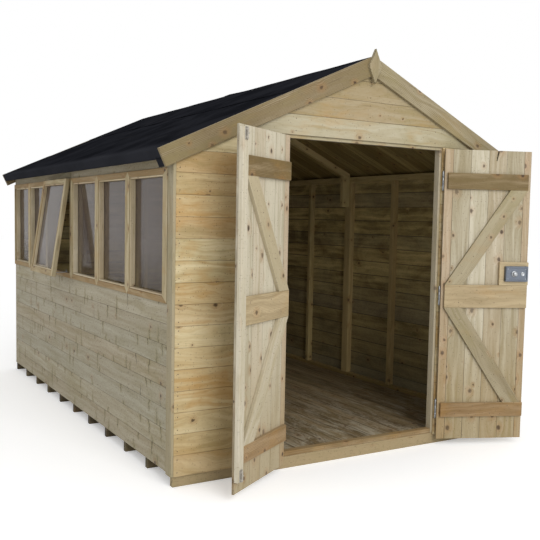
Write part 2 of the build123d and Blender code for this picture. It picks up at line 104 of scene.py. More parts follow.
# Timber finishes: title, pale and deep grain as display colours, and the shares of marks and stains
WOODS = {
    "front": (
        "front boards", (204, 190, 152), (178, 150, 102),
        dict(green=0.45, gold=0.45, mottle=0.15, joint=0.5, inner=True),
    ),
    "gable": (
        "gable boards", (174, 166, 142), (146, 132, 98),
        dict(green=0.35, gold=0.2, mottle=0.15, joint=0.5, inner=True),
    ),
    "side": (
        "side boards", (178, 170, 148), (146, 135, 110),
        dict(
            green=0.35, grey=0.3, marks=1.0, mottle=0.4, knots=0.15, vary=0.3, wavy=2.0, joint=0.5, gap=0.003,
            inner=True,
        ),
    ),
    "door": (
        "door boards", (190, 182, 161), (142, 130, 102),
        dict(green=0.12, foot=0.5, mottle=0.15, knots=0.8, burl=1.15, vary=0.9, figure=2.2, wavy=2.5, joint=0.5),
    ),
    "ledge": (
        "ledge timber", (182, 164, 130), (100, 81, 48),
        dict(green=0.15, gold=0.2, mottle=0.12, knots=0.3, figure=1.3, vary=0.9),
    ),
    "frame": ("framing timber", (198, 179, 128), (144, 121, 72), dict(green=0.3)),
    "joist": ("joist timber", (158, 140, 106), (34, 29, 23), dict(green=0.3, mottle=0.4, figure=2.4)),
    "floor": (
        "floorboards", (156, 135, 99), (82, 65, 40),
        dict(green=0.2, worn=0.85, mottle=0.45, figure=2.2, wavy=2.0, joint=0.95, gap=0.008),
    ),
    "strip": ("strip timber", (194, 186, 166), (170, 157, 128), dict(green=0.15, mottle=0.18)),
    "inner": (
        "roof boards", (226, 204, 140), (120, 100, 54),
        dict(green=0.3, vary=0.4, wavy=2.0, figure=1.1, joint=0.6),
    ),
    "trim": (
        "trim timber", (160, 149, 122), (112, 97, 68),
        dict(green=0.4, gold=0.1, mottle=0.12, vary=0.9, rings=0.65),
    ),
    "sash": ("sash timber", (186, 172, 138), (138, 114, 74), dict(green=0.25, gold=0.25, knots=0.7, joint=0.3)),
    "bead": ("bead timber", (222, 210, 182), (196, 178, 142), dict(green=0.15, joint=0.25, gap=0.0015)),
}
METALS = {
    "zinc": ("zinc plate", dict(rough=0.28, flakes=0.25)),
    "bolt": ("bolt plate", dict(rough=0.5, grime=0.35, sheen=0.4)),
    "lock": ("lock case", dict(rough=0.24, grime=0.12)),
    "nail": ("nail heads", dict(rough=0.45, grime=0.4)),
}
FINISHES = {}


def tint(red, green, blue):
    """Linear colour of an 8-bit display colour, by the sRGB curve."""
    c = np.array((red, green, blue)) / 255
    return tuple(np.where(c <= 0.04045, c / 12.92, ((c + 0.055) / 1.055) ** 2.4))


def length(name, description, default):
    """A size in metres that a user may change."""
    return FloatProperty(name=name, description=description, default=default, min=0.0, unit="LENGTH")


def colour(name, description, *display):
    """A colour that a user may change."""
    return FloatVectorProperty(
        name=name, description=description, default=tint(*display), size=3, min=0.0, max=1.0, subtype="COLOR"
    )


class ShedSizes(bpy.types.PropertyGroup):
    """Sizes of the boards and small parts."""

    board_cover: length("Board cover", "Height of wall that one cladding board covers", 0.112)
    floor_cover: length("Floorboard width", "Width of one floorboard", 0.112)
    roof_cover: length("Roof board width", "Width of one roof board", 0.112)
    door_cover: length("Door board width", "Width of one full door board", 0.115)
    door_edge: length("Door hinge board", "Width of the cut board at the hinge edge", 0.054)
    groove: length("Groove", "Size of the bevel along a board's edges", 0.0018)
    arris: length("Arris", "Radius of the edges of sawn timbers", 0.0022)
    bow: length("Bow", "How far a timber bows from the straight", 0.0)
    split_place: length("Split place", "Distance of the split from the right door's pin", 0.335)
    split_depth: length("Split depth", "How far the split runs down from the door's head", 0.064)
    split_gap: length("Split gap", "Width of the split at the door's head", 0.013)
    split_shift: length("Split slant", "How far the split moves aside on its way up", 0.011)
    bead_width: length("Bead width", "Face width of the glazing beads", 0.008)
    bead_depth: length("Bead depth", "How far the beads stand in front of the glass", 0.031)
    casement_bead: length("Casement bead depth", "How far the casement's beads stand in front of its glass", 0.018)
    felt_fold: length("Felt fold", "Radius of the felt's fold at the eaves", 0.006)
    felt_flap: length("Felt flap", "Length of the felt folded down behind the front bargeboards", 0.072)
    felt_nail_gap: length("Felt nail gap", "Distance between the felt nails", 0.1)
    felt_nail_radius: length("Felt nail radius", "Radius of the felt nails' heads", 0.0045)
    nail_radius: length("Nail radius", "Radius of the nail heads", 0.0032)
    screw_radius: length("Screw radius", "Radius of the screw heads", 0.0048)
    strap_wide: length("Strap height", "Height of a strap hinge at its knuckle", 0.04)
    strap_tip: length("Strap tip", "Height of a strap hinge at its tip", 0.022)
    strap_thickness: length("Strap thickness", "Thickness of the hinges' plates", 0.003)
    pin_radius: length("Knuckle radius", "Radius of the hinges' knuckles", 0.006)


class ShedColours(bpy.types.PropertyGroup):
    """Colours of the finishes; those of the timbers are added below."""

    knot: colour("Knot", "Dark heart of the knots", 54, 35, 18)
    halo: colour("Knot halo", "Warm ring round the knots", 154, 108, 62)
    green: colour("Green stain", "Greenish stain of the timber treatment", 138, 128, 86)
    gold: colour("Gold stain", "Golden stain of the timber treatment", 176, 132, 66)
    # Also used as painted shade on the inner walls, towards the floor and in their grooves
    dirt: colour("Dirt", "Dirt in the grooves", 58, 44, 26)
    felt: colour("Felt", "Roofing felt", 24, 25, 29)
    felt_grit: colour("Felt grit", "Mineral grit on the felt", 40, 41, 46)
    zinc: colour("Zinc", "Zinc plated ironwork", 148, 151, 154)
    bolt: colour("Bolt", "Bolts of the left door", 158, 152, 140)
    lock: colour("Lock", "Lock case and face", 98, 104, 114)
    nail: colour("Nail", "Nail heads", 112, 96, 72)
    glass: colour("Glass", "Film on the window glass", 98, 86, 79)


for key, (title, pale, deep, _) in WOODS.items():
    for grain, display in (("pale", pale), ("deep", deep)):
        note = f"{grain.capitalize()} grain of the {title}"
        ShedColours.__annotations__[f"{key}_{grain}"] = colour(f"{title.capitalize()}, {grain}", note, *display)


# Meshes


def axis(vector):
    """The vector at unit length."""
    vector = np.asarray(vector, float)
    return vector / np.linalg.norm(vector)


def lowest(points, way):
    """The points at the low end of an axis."""
    return points[points[:, way] < points[:, way].min() + NEAR]


def highest(points, way):
    """The points at the high end of an axis."""
    return points[points[:, way] > points[:, way].max() - NEAR]


def at_level(points, level):
    """The points with one level added as their last value."""
    return np.c_[points, np.full(len(points), level)]


def long_way(points):
    """The level axis that a solid is longer along."""
    return X if np.ptp(points[:, 0]) > np.ptp(points[:, 1]) else Y


def solids(node):
    """Corner points of each solid of a CAD node: triangles that share a corner are one solid."""
    mesh = frame["nodes"][node].data
    mesh.calc_loop_triangles()
    points = np.empty(len(mesh.vertices) * 3)
    mesh.vertices.foreach_get("co", points)
    corners = np.empty(len(mesh.loop_triangles) * 3, np.int32)
    mesh.loop_triangles.foreach_get("vertices", corners)
    points, same = np.unique(points.reshape(-1, 3).round(5), axis=0, return_inverse=True)
    corners = same.ravel()[corners].reshape(-1, 3)
    label = np.arange(len(points))
    while True:
        lower = label.copy()
        np.minimum.at(lower, corners, np.repeat(label[corners].min(1)[:, None], 3, axis=1))
        if (lower == label).all():
            break
        label = lower
    return [points[label == each] for each in np.unique(label)]


class Beam:
    """A straight timber: its axes, its reach across and through, and where its ends lie on both long edges.

    A part of a split board has the whole board as its host, whose grain it shows.
    """

    def __init__(self, axes, across, through, low, high, host=None):
        self.axes, self.across, self.through = axes, across, through
        self.low, self.high, self.host = low, high, host
        self.lot = self.seed = None
        self.end = END_ROUND

    def stain(self, tone, warm, age=0.5):
        """Sets the timber's tone, warmth and age, which are drawn at random otherwise."""
        self.lot = (tone, warm, age)
        return self

    def half(self):
        """Half of the width and half of the thickness."""
        return np.array((np.ptp(self.across), np.ptp(self.through))) / 2

    def middle(self):
        """Places of the middle across and through."""
        return np.array((sum(self.across), sum(self.through))) / 2


def axes_of(along, across):
    """Right-handed axes along, across and through a timber, as rows."""
    along, across = axis(along), axis(across)
    return np.array((along, across, np.cross(along, across)))


def beam(points, along, across, *lot):
    """Beam through the corner points of one solid, with its ends as slanted as the solid's."""
    axes = axes_of(along, across)
    a, b, t = axes @ points.T
    low, high = a[b < b.min() + NEAR], a[b > b.max() - NEAR]
    made = Beam(axes, (b.min(), b.max()), (t.min(), t.max()), (low.min(), low.max()), (high.min(), high.max()))
    return made.stain(*lot) if lot else made


def beams(node, along, across, *lot):
    """One beam for each solid of a node."""
    return [beam(points, along, across, *lot) for points in solids(node)]


def reach(a, b, level):
    """Lowest and highest place along a convex panel at a level across it, over every pair of its corners."""
    below, above = b[:, None] <= level + NEAR, b[None, :] >= level - NEAR
    rise = b[None, :] - b[:, None]
    share = np.clip((level - b[:, None]) / np.where(abs(rise) < NEAR, 1.0, rise), 0.0, 1.0)
    places = (a[:, None] + share * (a[None, :] - a[:, None]))[below & above]
    return places.min(), places.max()


def boards(points, along, across, covers):
    """Beams that fill a convex panel: strips across it, ended where the panel's outline is at their two edges."""
    axes = axes_of(along, across)
    a, b, t = axes @ points.T
    covers = np.atleast_1d(covers)
    if len(covers) == 1:
        covers = np.repeat(covers, int(np.ceil(np.ptp(b) / covers[0] - 0.05)))
    edges = np.concatenate(((b.min(),), b.min() + np.cumsum(covers)))
    edges[-1] = b.max()
    spans = zip(edges[:-1], edges[1:])
    return [Beam(axes, span, (t.min(), t.max()), reach(a, b, span[0]), reach(a, b, span[1])) for span in spans]


def rounded(half, radius, steps):
    """Outline of a rectangle with a quarter circle at each of its corners, anticlockwise from the right."""
    angle = (np.arange(4)[:, None] * pi / 2 + np.linspace(0, pi / 2, steps)).ravel()
    signs = np.repeat(((1, 1), (-1, 1), (-1, -1), (1, -1)), steps, axis=0)
    return signs * (half - radius) + radius * np.c_[np.cos(angle), np.sin(angle)]


def plate_outline(size, radius, centre=(0, 0)):
    """Rounded outline of a plate that starts at the middle of a corner, so that its end closes in level strips."""
    return np.roll(rounded(np.array(size) / 2, radius, PLATE_POINTS) + centre, 2, axis=0)


def rings_to_quads(rings, around, looped=False):
    """Quads of a tube of rings: joined to its own start, or with each end closed by a strip of quads across it."""
    ring, place = np.meshgrid(np.arange(rings if looped else rings - 1), np.arange(around), indexing="ij")
    here, after, follow = ring * around, (ring + 1) % rings * around, (place + 1) % around
    sides = np.stack((here + place, here + follow, after + follow, after + place), axis=2).reshape(-1, 4)
    if looped:
        return sides
    i = np.arange(around // 2 - 1)
    cap = np.stack((i, i + 1, around - 2 - i, around - 1 - i), axis=1)
    return np.concatenate((sides, cap[:, ::-1], cap + (rings - 1) * around))


class Batch:
    """Arrays of one mesh while its parts are gathered, in a frame of their own."""

    def __init__(self, name, origin=(0, 0, 0), axes=(X, Y, Z)):
        self.name = name
        self.origin, self.axes = np.array(origin, float), np.array(axes, float)
        self.random = np.random.default_rng(zlib.crc32(name.encode()))
        self.points, self.quads, self.smooth = [], [], []
        self.grain, self.timber, self.edge = [], [], []
        self.count = 0

    def add(self, points, quads, smooth, grain=None, timber=None, edge=None):
        """Adds points, quads that count from 0, and their attributes; a left-handed frame turns the quads."""
        zero = np.zeros((len(points), 3))
        if np.linalg.det(self.axes) < 0:
            quads = quads[:, ::-1]
        self.points.append(self.origin + points @ self.axes)
        self.quads.append(quads + self.count)
        self.smooth.append(np.broadcast_to(smooth, len(quads)))
        self.grain.append(points if grain is None else grain)
        self.timber.append(zero + (self.random.random(3) if timber is None else timber))
        self.edge.append(zero + (0, 1, 0) if edge is None else edge)
        self.count += len(points)

    def make(self, look):
        """The object of the gathered arrays, at the origin, in one finish."""
        mesh = bpy.data.meshes.new(self.name)
        mesh.from_pydata(np.concatenate(self.points), [], np.concatenate(self.quads).tolist())
        mesh.polygons.foreach_set("use_smooth", np.concatenate(self.smooth).astype(bool))
        for name in ("grain", "timber", "edge"):
            values = np.concatenate(getattr(self, name)).astype(np.float32)
            mesh.attributes.new(name, "FLOAT_VECTOR", "POINT").data.foreach_set("vector", values.ravel())
        mesh.materials.append(finish(look))
        mesh.update()
        thing = bpy.data.objects.new(self.name, mesh)
        bpy.context.scene.collection.objects.link(thing)
        return thing


def add_beam(batch, piece, radius, bow=0.0):
    """Adds a timber to a batch.

    A rounded rectangle is carried along the timber. Its end rings are drawn in, which rounds the end faces, its end
    places slant with the place across, and a slow sine wave bows it from the straight.
    """
    half, middle = piece.half(), piece.middle()
    end = min(piece.end, 0.4 * half.min())
    ring = rounded(half, min(radius, 0.45 * half.min()), EDGE_POINTS)
    mean = (np.ptp(piece.low) + np.ptp(piece.high)) / 2
    inner = max(2, int(np.ceil(mean / RING_SPACING)) + 1)
    share = np.concatenate(((0,), np.linspace(end, mean - end, inner) / mean, (1,)))
    draw = np.zeros(len(share))
    draw[[0, -1]] = end
    across = np.sign(ring[:, 0]) * (abs(ring[:, 0]) - draw[:, None])
    through = np.sign(ring[:, 1]) * (abs(ring[:, 1]) - draw[:, None])
    rise = (across / half[0] + 1) / 2
    near = piece.low[0] + rise * (piece.high[0] - piece.low[0])
    far = piece.low[1] + rise * (piece.high[1] - piece.low[1])
    a = near + share[:, None] * (far - near)
    phase, pull = batch.random.random(2) * 2 * pi, batch.random.random(2) * bow
    swell = np.sin(share * pi)[:, None]
    b = middle[0] + across + pull[0] * swell * np.sin(share * mean * 4 + phase[0])[:, None]
    t = middle[1] + through + pull[1] * swell * np.sin(share * mean * 3 + phase[1])[:, None]
    points = np.stack((a, b, t), axis=2).reshape(-1, 3) @ piece.axes
    quads = rings_to_quads(len(share), len(ring))
    number = np.arange(len(quads))
    smooth = (number % EDGE_POINTS != EDGE_POINTS - 1) & (number < (len(share) - 1) * len(ring))
    host = piece.host or piece
    if host.seed is None:
        host.seed = batch.random.random(3) * (40, 40, 4)
    if host.lot is None:
        host.lot = batch.random.random(3)
    place = points @ host.axes.T - (host.low[0], *host.middle())
    edge = np.c_[place[:, 1], np.full(len(place), host.half()[0]), place[:, 2]]
    batch.add(points, quads, smooth, place + host.seed, host.lot, edge)


def placed(thing, slot, *nodes, body="shed"):
    """Sets a finished object on its body and hides the CAD nodes that it stands for; the slot is not used."""
    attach(thing, body)
    if nodes:
        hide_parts(*nodes)


def timbers(name, pieces, look, slot, *nodes, radius=None, body="shed"):
    """One object of the timbers, riding on its body in place of CAD nodes."""
    sizes = bpy.context.scene.shed_sizes
    batch = Batch(name)
    for piece in pieces:
        add_beam(batch, piece, sizes.arris if radius is None else radius, sizes.bow)
    placed(batch.make(look), slot, *nodes, body=body)


def add_turned(batch, places, along, profile, around=16, domed=False):
    """Adds a turned part at each place: radii at heights along an axis, carried round it, closed at both ends."""
    along, places = axis(along), np.atleast_2d(places)
    aside = axis(np.cross(along, X if abs(along[0]) < 0.9 else Y))
    angle = np.arange(around) * 2 * pi / around
    rim = np.cos(angle)[:, None] * aside + np.sin(angle)[:, None] * np.cross(along, aside)
    radius, height = np.array(profile, float).T[:, :, None, None]
    points = places[:, None, None, :] + radius * rim + height * along
    quads = rings_to_quads(len(profile), around)
    smooth = domed | (np.arange(len(quads)) < (len(profile) - 1) * around)
    each = np.arange(len(places))[:, None, None] * len(profile) * around
    batch.add(points.reshape(-1, 3), (each + quads).reshape(-1, 4), np.tile(smooth, len(places)))


def add_heads(batch, places, normal, radius, rise, around=8):
    """Adds a low domed head at each place."""
    add_turned(batch, places, normal, HEAD * (radius, rise), around, True)


def barrel(radius, low, high):
    """Profile of a knuckle: a cylinder with its ends eased."""
    return ((radius - EASE, low), (radius, low + EASE), (radius, high - EASE), (radius - EASE, high))


def add_plate(batch, outline, foot, thickness, bevel):
    """Adds a flat plate: rings of one outline at rising heights, the last moved in by the bevel along its normals."""
    step = np.roll(outline, -1, axis=0) - np.roll(outline, 1, axis=0)
    inset = outline + bevel * np.c_[-step[:, 1], step[:, 0]] / np.linalg.norm(step, axis=1)[:, None]
    rings = ((outline, foot), (outline, foot + thickness - bevel), (inset, foot + thickness))
    points = np.concatenate([at_level(*ring) for ring in rings])
    batch.add(points, rings_to_quads(len(rings), len(outline)), False)


def add_rim(batch, outer, inner, low, high, ease):
    """Adds a closed rim between two outlines: a section with eased edges carried round them and joined to itself."""
    unit = ease * (outer - inner) / np.linalg.norm(outer - inner, axis=1)[:, None]
    edge = high - ease
    rings = ((outer, low), (outer, edge), (outer - unit, high), (inner + unit, high), (inner, edge), (inner, low))
    points = np.concatenate([at_level(*ring) for ring in rings])
    batch.add(points, rings_to_quads(len(rings), len(outer), True), False)


def add_sheet(batch, line, thickness, path, lift=None):
    """Adds a bent sheet.

    A line in the first two axes and its copy, moved out by the thickness along the line's normals, make a closed
    section. It is carried along the third axis, and the lift moves it in the second axis at each place.
    """
    step = np.gradient(line, axis=0)
    normal = np.c_[-step[:, 1], step[:, 0]] / np.linalg.norm(step, axis=1)[:, None]
    ring = np.concatenate((line, (line + normal * thickness)[::-1]))
    first, second, third = np.broadcast_arrays(ring[:, 0], ring[:, 1], path[:, None])
    if lift:
        second = second + lift(np.concatenate((line, line[::-1]))[:, 0], path[:, None])
    quads = rings_to_quads(len(path), len(ring))
    smooth = np.arange(len(quads)) < (len(path) - 1) * len(ring)
    batch.add(np.stack((first, second, third), axis=2).reshape(-1, 3), quads, smooth)


# Materials


class Value:
    """A shader socket: sums written on it add Math nodes."""

    def __init__(self, shader, socket):
        self.shader, self.socket = shader, socket

    def sum(self, operation, *others, clamp=False):
        settings = {"operation": operation, "use_clamp": clamp}
        return self.shader.node("ShaderNodeMath", settings, dict(enumerate((self, *others))))

    def __add__(self, other):
        return self.sum("ADD", other)

    def __sub__(self, other):
        return self.sum("SUBTRACT", other)

    def __mul__(self, other):
        return self.sum("MULTIPLY", other)

    def __truediv__(self, other):
        return self.sum("DIVIDE", other)

    def __rsub__(self, other):
        return self.shader.node("ShaderNodeMath", {"operation": "SUBTRACT"}, {0: other, 1: self})

    def __abs__(self):
        return self.sum("ABSOLUTE")

    def above(self, other):
        return self.sum("GREATER_THAN", other)

    def wave(self):
        return self.sum("SINE")

    def held(self):
        return self.sum("ADD", 0.0, clamp=True)

    __radd__ = __add__
    __rmul__ = __mul__


class Shader:
    """A material or world whose nodes come from expressions."""

    def __init__(self, owner, surface="Principled BSDF"):
        self.owner = owner
        owner.use_nodes = True
        self.tree = owner.node_tree
        self.surface = self.tree.nodes[surface]
        self.body = None

    def node(self, kind, settings=None, sockets=None, out=0):
        """Adds a node with its settings, then its sockets' values or links, and returns one output."""
        made = self.tree.nodes.new(kind)
        for key, value in (settings or {}).items():
            setattr(made, key, value)
        for key, value in (sockets or {}).items():
            self.join(made.inputs[key], value)
        return Value(self, made.outputs[out])

    def join(self, socket, value):
        """Links a value to a socket, or sets the socket to it."""
        if isinstance(value, Value):
            self.tree.links.new(value.socket, socket)
        elif socket.type == "RGBA" and len(value) == 3:
            socket.default_value = (*value, 1.0)
        else:
            socket.default_value = value

    def set(self, **values):
        """Sets the surface's sockets, named with _ for a space."""
        for key, value in values.items():
            self.join(self.surface.inputs[key.replace("_", " ")], value)
        return self.owner

    def attribute(self, name):
        """The three parts of a mesh attribute."""
        return self.split(self.node("ShaderNodeAttribute", {"attribute_name": name}, out="Vector"))

    def place(self):
        """The surface's place in the object's frame."""
        return self.node("ShaderNodeTexCoord", out="Object")

    def split(self, vector):
        """The three parts of a vector."""
        parts = self.node("ShaderNodeSeparateXYZ", None, {0: vector})
        return [Value(self, each) for each in parts.socket.node.outputs]

    def vector(self, x, y, z=0.0):
        """A vector of three values."""
        return self.node("ShaderNodeCombineXYZ", None, {0: x, 1: y, 2: z})

    def scaled(self, vector, *scale):
        """The vector times a scale for each axis."""
        return self.node("ShaderNodeVectorMath", {"operation": "MULTIPLY"}, {0: vector, 1: scale})

    def noise(self, vector, scale=1.0, detail=2.0, rough=0.5, bend=0.0):
        """Noise from 0 to 1 with its mean near a half."""
        sockets = {"Vector": vector, "Scale": scale, "Detail": detail, "Roughness": rough, "Distortion": bend}
        return self.node("ShaderNodeTexNoise", None, sockets)

    def cells(self, dimensions, **sockets):
        """Distance to the nearest point of a cellular pattern, and three random values of its cell."""
        away = self.node("ShaderNodeTexVoronoi", {"voronoi_dimensions": dimensions}, sockets)
        return [away, *self.split(Value(self, away.socket.node.outputs["Color"]))]

    def ease(self, value, low, high, start=0.0, end=1.0):
        """Smooth step of a value from low to high."""
        sockets = {"Value": value, "From Min": low, "From Max": high, "To Min": start, "To Max": end}
        return self.node("ShaderNodeMapRange", {"interpolation_type": "SMOOTHSTEP"}, sockets)

    def fade(self, value, low, high, top=1.0):
        """Smooth step of a value from low to high that falls from the top to zero."""
        return self.ease(value, low, high, top, 0.0)

    def mix(self, share, first, second):
        """The first colour mixed with the second by a share."""
        settings = {"data_type": "RGBA", "clamp_factor": True}
        return self.node("ShaderNodeMix", settings, {0: share, 6: first, 7: second}, out=2)

    def coat(self, share, colour):
        """Lays a colour over the body's colour by a share."""
        self.body = self.mix(share, self.body, colour)

    def bump(self, height, strength, distance=0.001):
        """A normal bent by a height in the given distance."""
        return self.node("ShaderNodeBump", None, {"Strength": strength, "Distance": distance, "Height": height})

    def seen(self, *rays):
        """One where a ray of any of the named kinds meets the surface."""
        path = self.node("ShaderNodeLightPath").socket.node
        share, *others = [Value(self, path.outputs[f"Is {ray} Ray"]) for ray in rays]
        for other in others:
            share = share.sum("MAXIMUM", other)
        return share


def wood(
    name, pale, deep, green=0, gold=0, grey=0, foot=0, worn=0, marks=0, mottle=0, knots=0.5, burl=1.0,
    vary=0.7, figure=1.7, wavy=5.0, rings=0.24, joint=0, gap=0.004, inner=False,
):
    """Softwood with rings, streaks, knots, stains and dirty joints, and painted shade on a wall's inner face, drawn
    in each timber's own grain frame.
    """
    tones = bpy.context.scene.shed_colours
    s = Shader(bpy.data.materials.new(name))
    along, across, through = s.attribute("grain")
    lot, warm, age = s.attribute("timber")
    side, half, depth = s.attribute("edge")
    place = s.place()
    _, inwards, height = s.split(place)

    # Knots: one in some cells of a cellular pattern, each with its own radius
    face, scale = across + through, 7.5
    ragged = s.noise(s.vector(along * 60, face * 60), 1.0, 2.0) * 0.012
    spot = s.vector(along * 0.8 + ragged, face + ragged)
    cell, pick_size, pick_here, pick_tone = s.cells("2D", Vector=spot, Scale=scale)
    away = cell / scale / ((pick_size * 0.008 + 0.005) * burl)
    here = pick_here.above(1 - knots)
    heart = here * s.fade(away, 0.45, 1.2) * (pick_tone * 0.4 + 0.6)
    halo = here * s.fade(away, 0.8, 3.6)

    # Rings and streaks run along the timber, bend round the knots and flame where the timber was cut flat
    sway = s.noise(s.vector(along * 0.8, across * 7, through * 7), 1.0, 2.0)
    ring = (across * 900 + through * 500 + sway * 46 + halo * 9).wave() * 0.5 + 0.5
    flame = s.noise(s.vector(along * 2.6, across * 9, through * 9), 1.0, 2.0)
    streak = s.noise(s.vector(along * 1.5, across * 34 + halo * 0.8 + flame * wavy, through * 22), 1.0, 4.0, 0.6)
    fibre = s.noise(s.vector(along * 14, across * 420, through * 300), 1.0, 2.0, 0.6)
    cloud = s.noise(place, 2.3, 4.0, 0.62, 0.4)
    tone = (streak - 0.5) * figure + (ring - 0.5) * rings + (lot - 0.5) * vary + (fibre - 0.5) * 0.3 + 0.5
    s.body = s.mix(tone.held(), pale, deep)
    rim = half - abs(side)

    # A wall's inner face is browner, with painted shade towards the floor, and its grooves hold dirt with painted
    # shade
    within = s.fade(depth, -0.003, 0.0) if inner else 0.0
    if inner:
        patch = s.noise(s.scaled(place, 2.0, 2.6, 5.0), 1.0, 4.0, 0.65, 0.8)
        lining = s.mix((tone + (patch - 0.5) * 2.2).held(), tones.inner_pale, tones.inner_deep)
        # Painted shade: the lining darkens towards the floor
        lining = s.mix(s.fade(height + patch * 0.5, 0.4, 1.5, 0.6), lining, tones.dirt)
        # Dirt with painted shade in the lining's grooves
        lining = s.mix(s.fade(rim, 0.0, 0.006, 0.9), lining, tones.dirt)
        s.coat(within, lining)

    # Treatment stains cross the boards in broad clouds, and every timber has its own share of warmth
    s.coat(s.ease(warm, 0.5, 1.0) * (0.37 * vary), tones.halo)
    if green:
        s.coat(s.ease(cloud * 0.6 + streak * 0.4, 0.45, 0.64) * green, tones.green)
    if gold:
        patch = s.noise(s.scaled(place, 1.0, 1.0, 1.6), 3.1, 3.0, 0.6, 0.6)
        s.coat(s.ease(patch * 0.75 + streak * 0.25, 0.5, 0.66) * gold, tones.gold)
    if grey:
        s.coat(s.ease(age + cloud * 0.5, 0.5, 1.2) * grey, tint(146, 146, 132))
    if foot:
        s.coat(s.fade(height + cloud * 0.5, 0.3, 1.3) * foot, tones.frame_deep)
    if worn:
        trodden = s.noise(s.scaled(place, 14.0, 4.0, 1.0), 1.0, 6.0, 0.8, 0.6)
        trodden = s.ease(trodden, 0.42, 0.66) * s.ease(inwards, -1.8, 0.3, 1.0, 0.15)
        s.coat(trodden * worn, tint(190, 180, 158))

    # Drip marks: thin lines across a board that start at one of its edges and stop part of the way over
    if marks:
        often = 11.0
        bend = s.noise(s.vector(along * 7, across * 20), 1.0, 4.0, 0.7) * 0.07
        bend = bend + (s.noise(s.vector(along * 2.5, lot * 30)) - 0.5) * side * 0.8
        drip, pick_reach, pick_drip, pick_dark = s.cells("1D", W=(along + bend) * often, Scale=1.0)
        over = side / half * 0.5 + 0.5
        start = over + pick_dark.above(0.5) * (1 - over * 2)
        run = s.fade(start - pick_reach * 0.9, -0.12, 0.05) * (1 - start * 0.5) * (1 - within)
        apart = drip / often / (1.5 - start)
        thin = s.fade(apart, 0.001, 0.0055) * pick_drip.above(0.4)
        smudge = s.fade(apart, 0.003, 0.026) * pick_drip.above(0.45)
        s.coat(smudge * run * marks * 0.5, tones.green)
        s.coat(thin * run * marks * (pick_dark * 0.5 + 0.5), tones.dirt)

    # Hairline checks follow the grain; knots, ticks and flecks lie over them
    check = s.noise(s.vector(along * 3.2, across * 190, through * 60), 1.0, 2.0, 0.5)
    s.coat(s.ease(check, 0.68, 0.76) * 0.45, tones.dirt)
    s.coat(halo * 0.24, tones.halo)
    s.coat(heart * 0.9, tones.knot)
    tick, pick_tick, _, _ = s.cells("2D", Vector=s.vector(along * 1.7, face), Scale=40.0)
    s.coat(s.fade(tick, 0.06, 0.16, 0.55) * pick_tick.above(0.82), tones.knot)
    if mottle:
        fleck = s.noise(s.vector(along * 45, face * 90), 1.0, 4.0, 0.75, 0.4)
        s.coat(s.ease(fleck, 0.52, 0.7) * mottle, tones.dirt)
        s.coat(s.ease(fleck, 0.48, 0.32) * mottle * 0.6, pale)

    # Joints hold dirt, and free edges are rubbed pale
    if joint:
        wobble = s.noise(s.vector(along * 6, lot * 30), 1.0, 3.0)
        seam = s.fade(rim, 0.0003, wobble * gap + 0.0008) * s.ease(wobble, 0.3, 0.6, 0.4, 1.0)
        s.coat(seam * joint, tones.dirt)
    else:
        s.coat(s.fade(rim + (fibre - 0.5) * 0.004, 0.0, 0.0035) * 0.22, pale)
    relief = ring * 0.35 + fibre * 0.5 + streak * 0.6 - heart * 0.5 - s.ease(check, 0.69, 0.76)
    gloss = (streak - 0.5) * 0.2 + (fibre - 0.5) * 0.12 + 0.7 - heart * 0.12
    return s.set(Base_Color=s.body, Roughness=gloss, Normal=s.bump(relief, 0.35), Specular_IOR_Level=0.3)


def felt_finish():
    """Bitumen felt with mineral grit and scuffs, and painted light on its skirts at the eaves."""
    tones = bpy.context.scene.shed_colours
    s = Shader(bpy.data.materials.new("roofing felt"))
    place = s.place()
    out, _, _ = s.split(place)
    grit = s.noise(place, 900.0, 2.0, 0.7)
    cloud = s.noise(place, 3.0, 5.0, 0.65, 0.5)
    scuff = s.noise(s.scaled(place, 9.0, 1.4, 9.0), 1.0, 4.0, 0.7)
    speck = s.cells("3D", Vector=place, Scale=620.0)[0]
    bright = s.fade(speck, 0.16, 0.3) * s.ease(grit, 0.45, 0.7)
    s.body = s.mix(s.ease(cloud, 0.35, 0.65) * 0.8, tones.felt, tones.felt_grit)
    s.coat(bright * 0.35, tint(70, 72, 78))
    s.coat(s.ease(scuff, 0.55, 0.8) * 0.12, tint(84, 82, 80))
    # Painted light: the felt is paler on the skirts at the eaves
    s.coat(s.ease(abs(out), 1.2, 1.3) * 0.5, tint(56, 57, 62))
    gloss = cloud * 0.2 + grit * 0.12 + 0.66
    bent = s.bump(grit * 0.7 + cloud * 0.6, 0.5, 0.002)
    return s.set(Base_Color=s.body, Roughness=gloss, Normal=bent, Specular_IOR_Level=0.0)


def metal(name, body, rough, grime=0.25, flakes=0.0, sheen=1.0):
    """Plated or painted metal with a crystalline spangle, fine brushing and grime."""
    tones = bpy.context.scene.shed_colours
    s = Shader(bpy.data.materials.new(name))
    s.body, place = body, s.place()
    flake = s.cells("3D", Vector=place, Scale=150.0)[1]
    brush = s.noise(s.scaled(place, 60.0, 60.0, 900.0), 1.0, 2.0, 0.6)
    cloud = s.noise(place, 22.0, 4.0, 0.65)
    s.coat(flake * flakes + (brush - 0.5) * 0.12 + 0.04, tint(214, 216, 218))
    s.coat(s.ease(cloud, 0.5, 0.75) * grime, tones.dirt)
    gloss = flake * flakes * 0.3 + (brush - 0.5) * 0.2 + cloud * 0.15 + rough
    return s.set(Base_Color=s.body, Metallic=sheen, Roughness=gloss, Normal=s.bump(brush * 0.4 + cloud, 0.08))


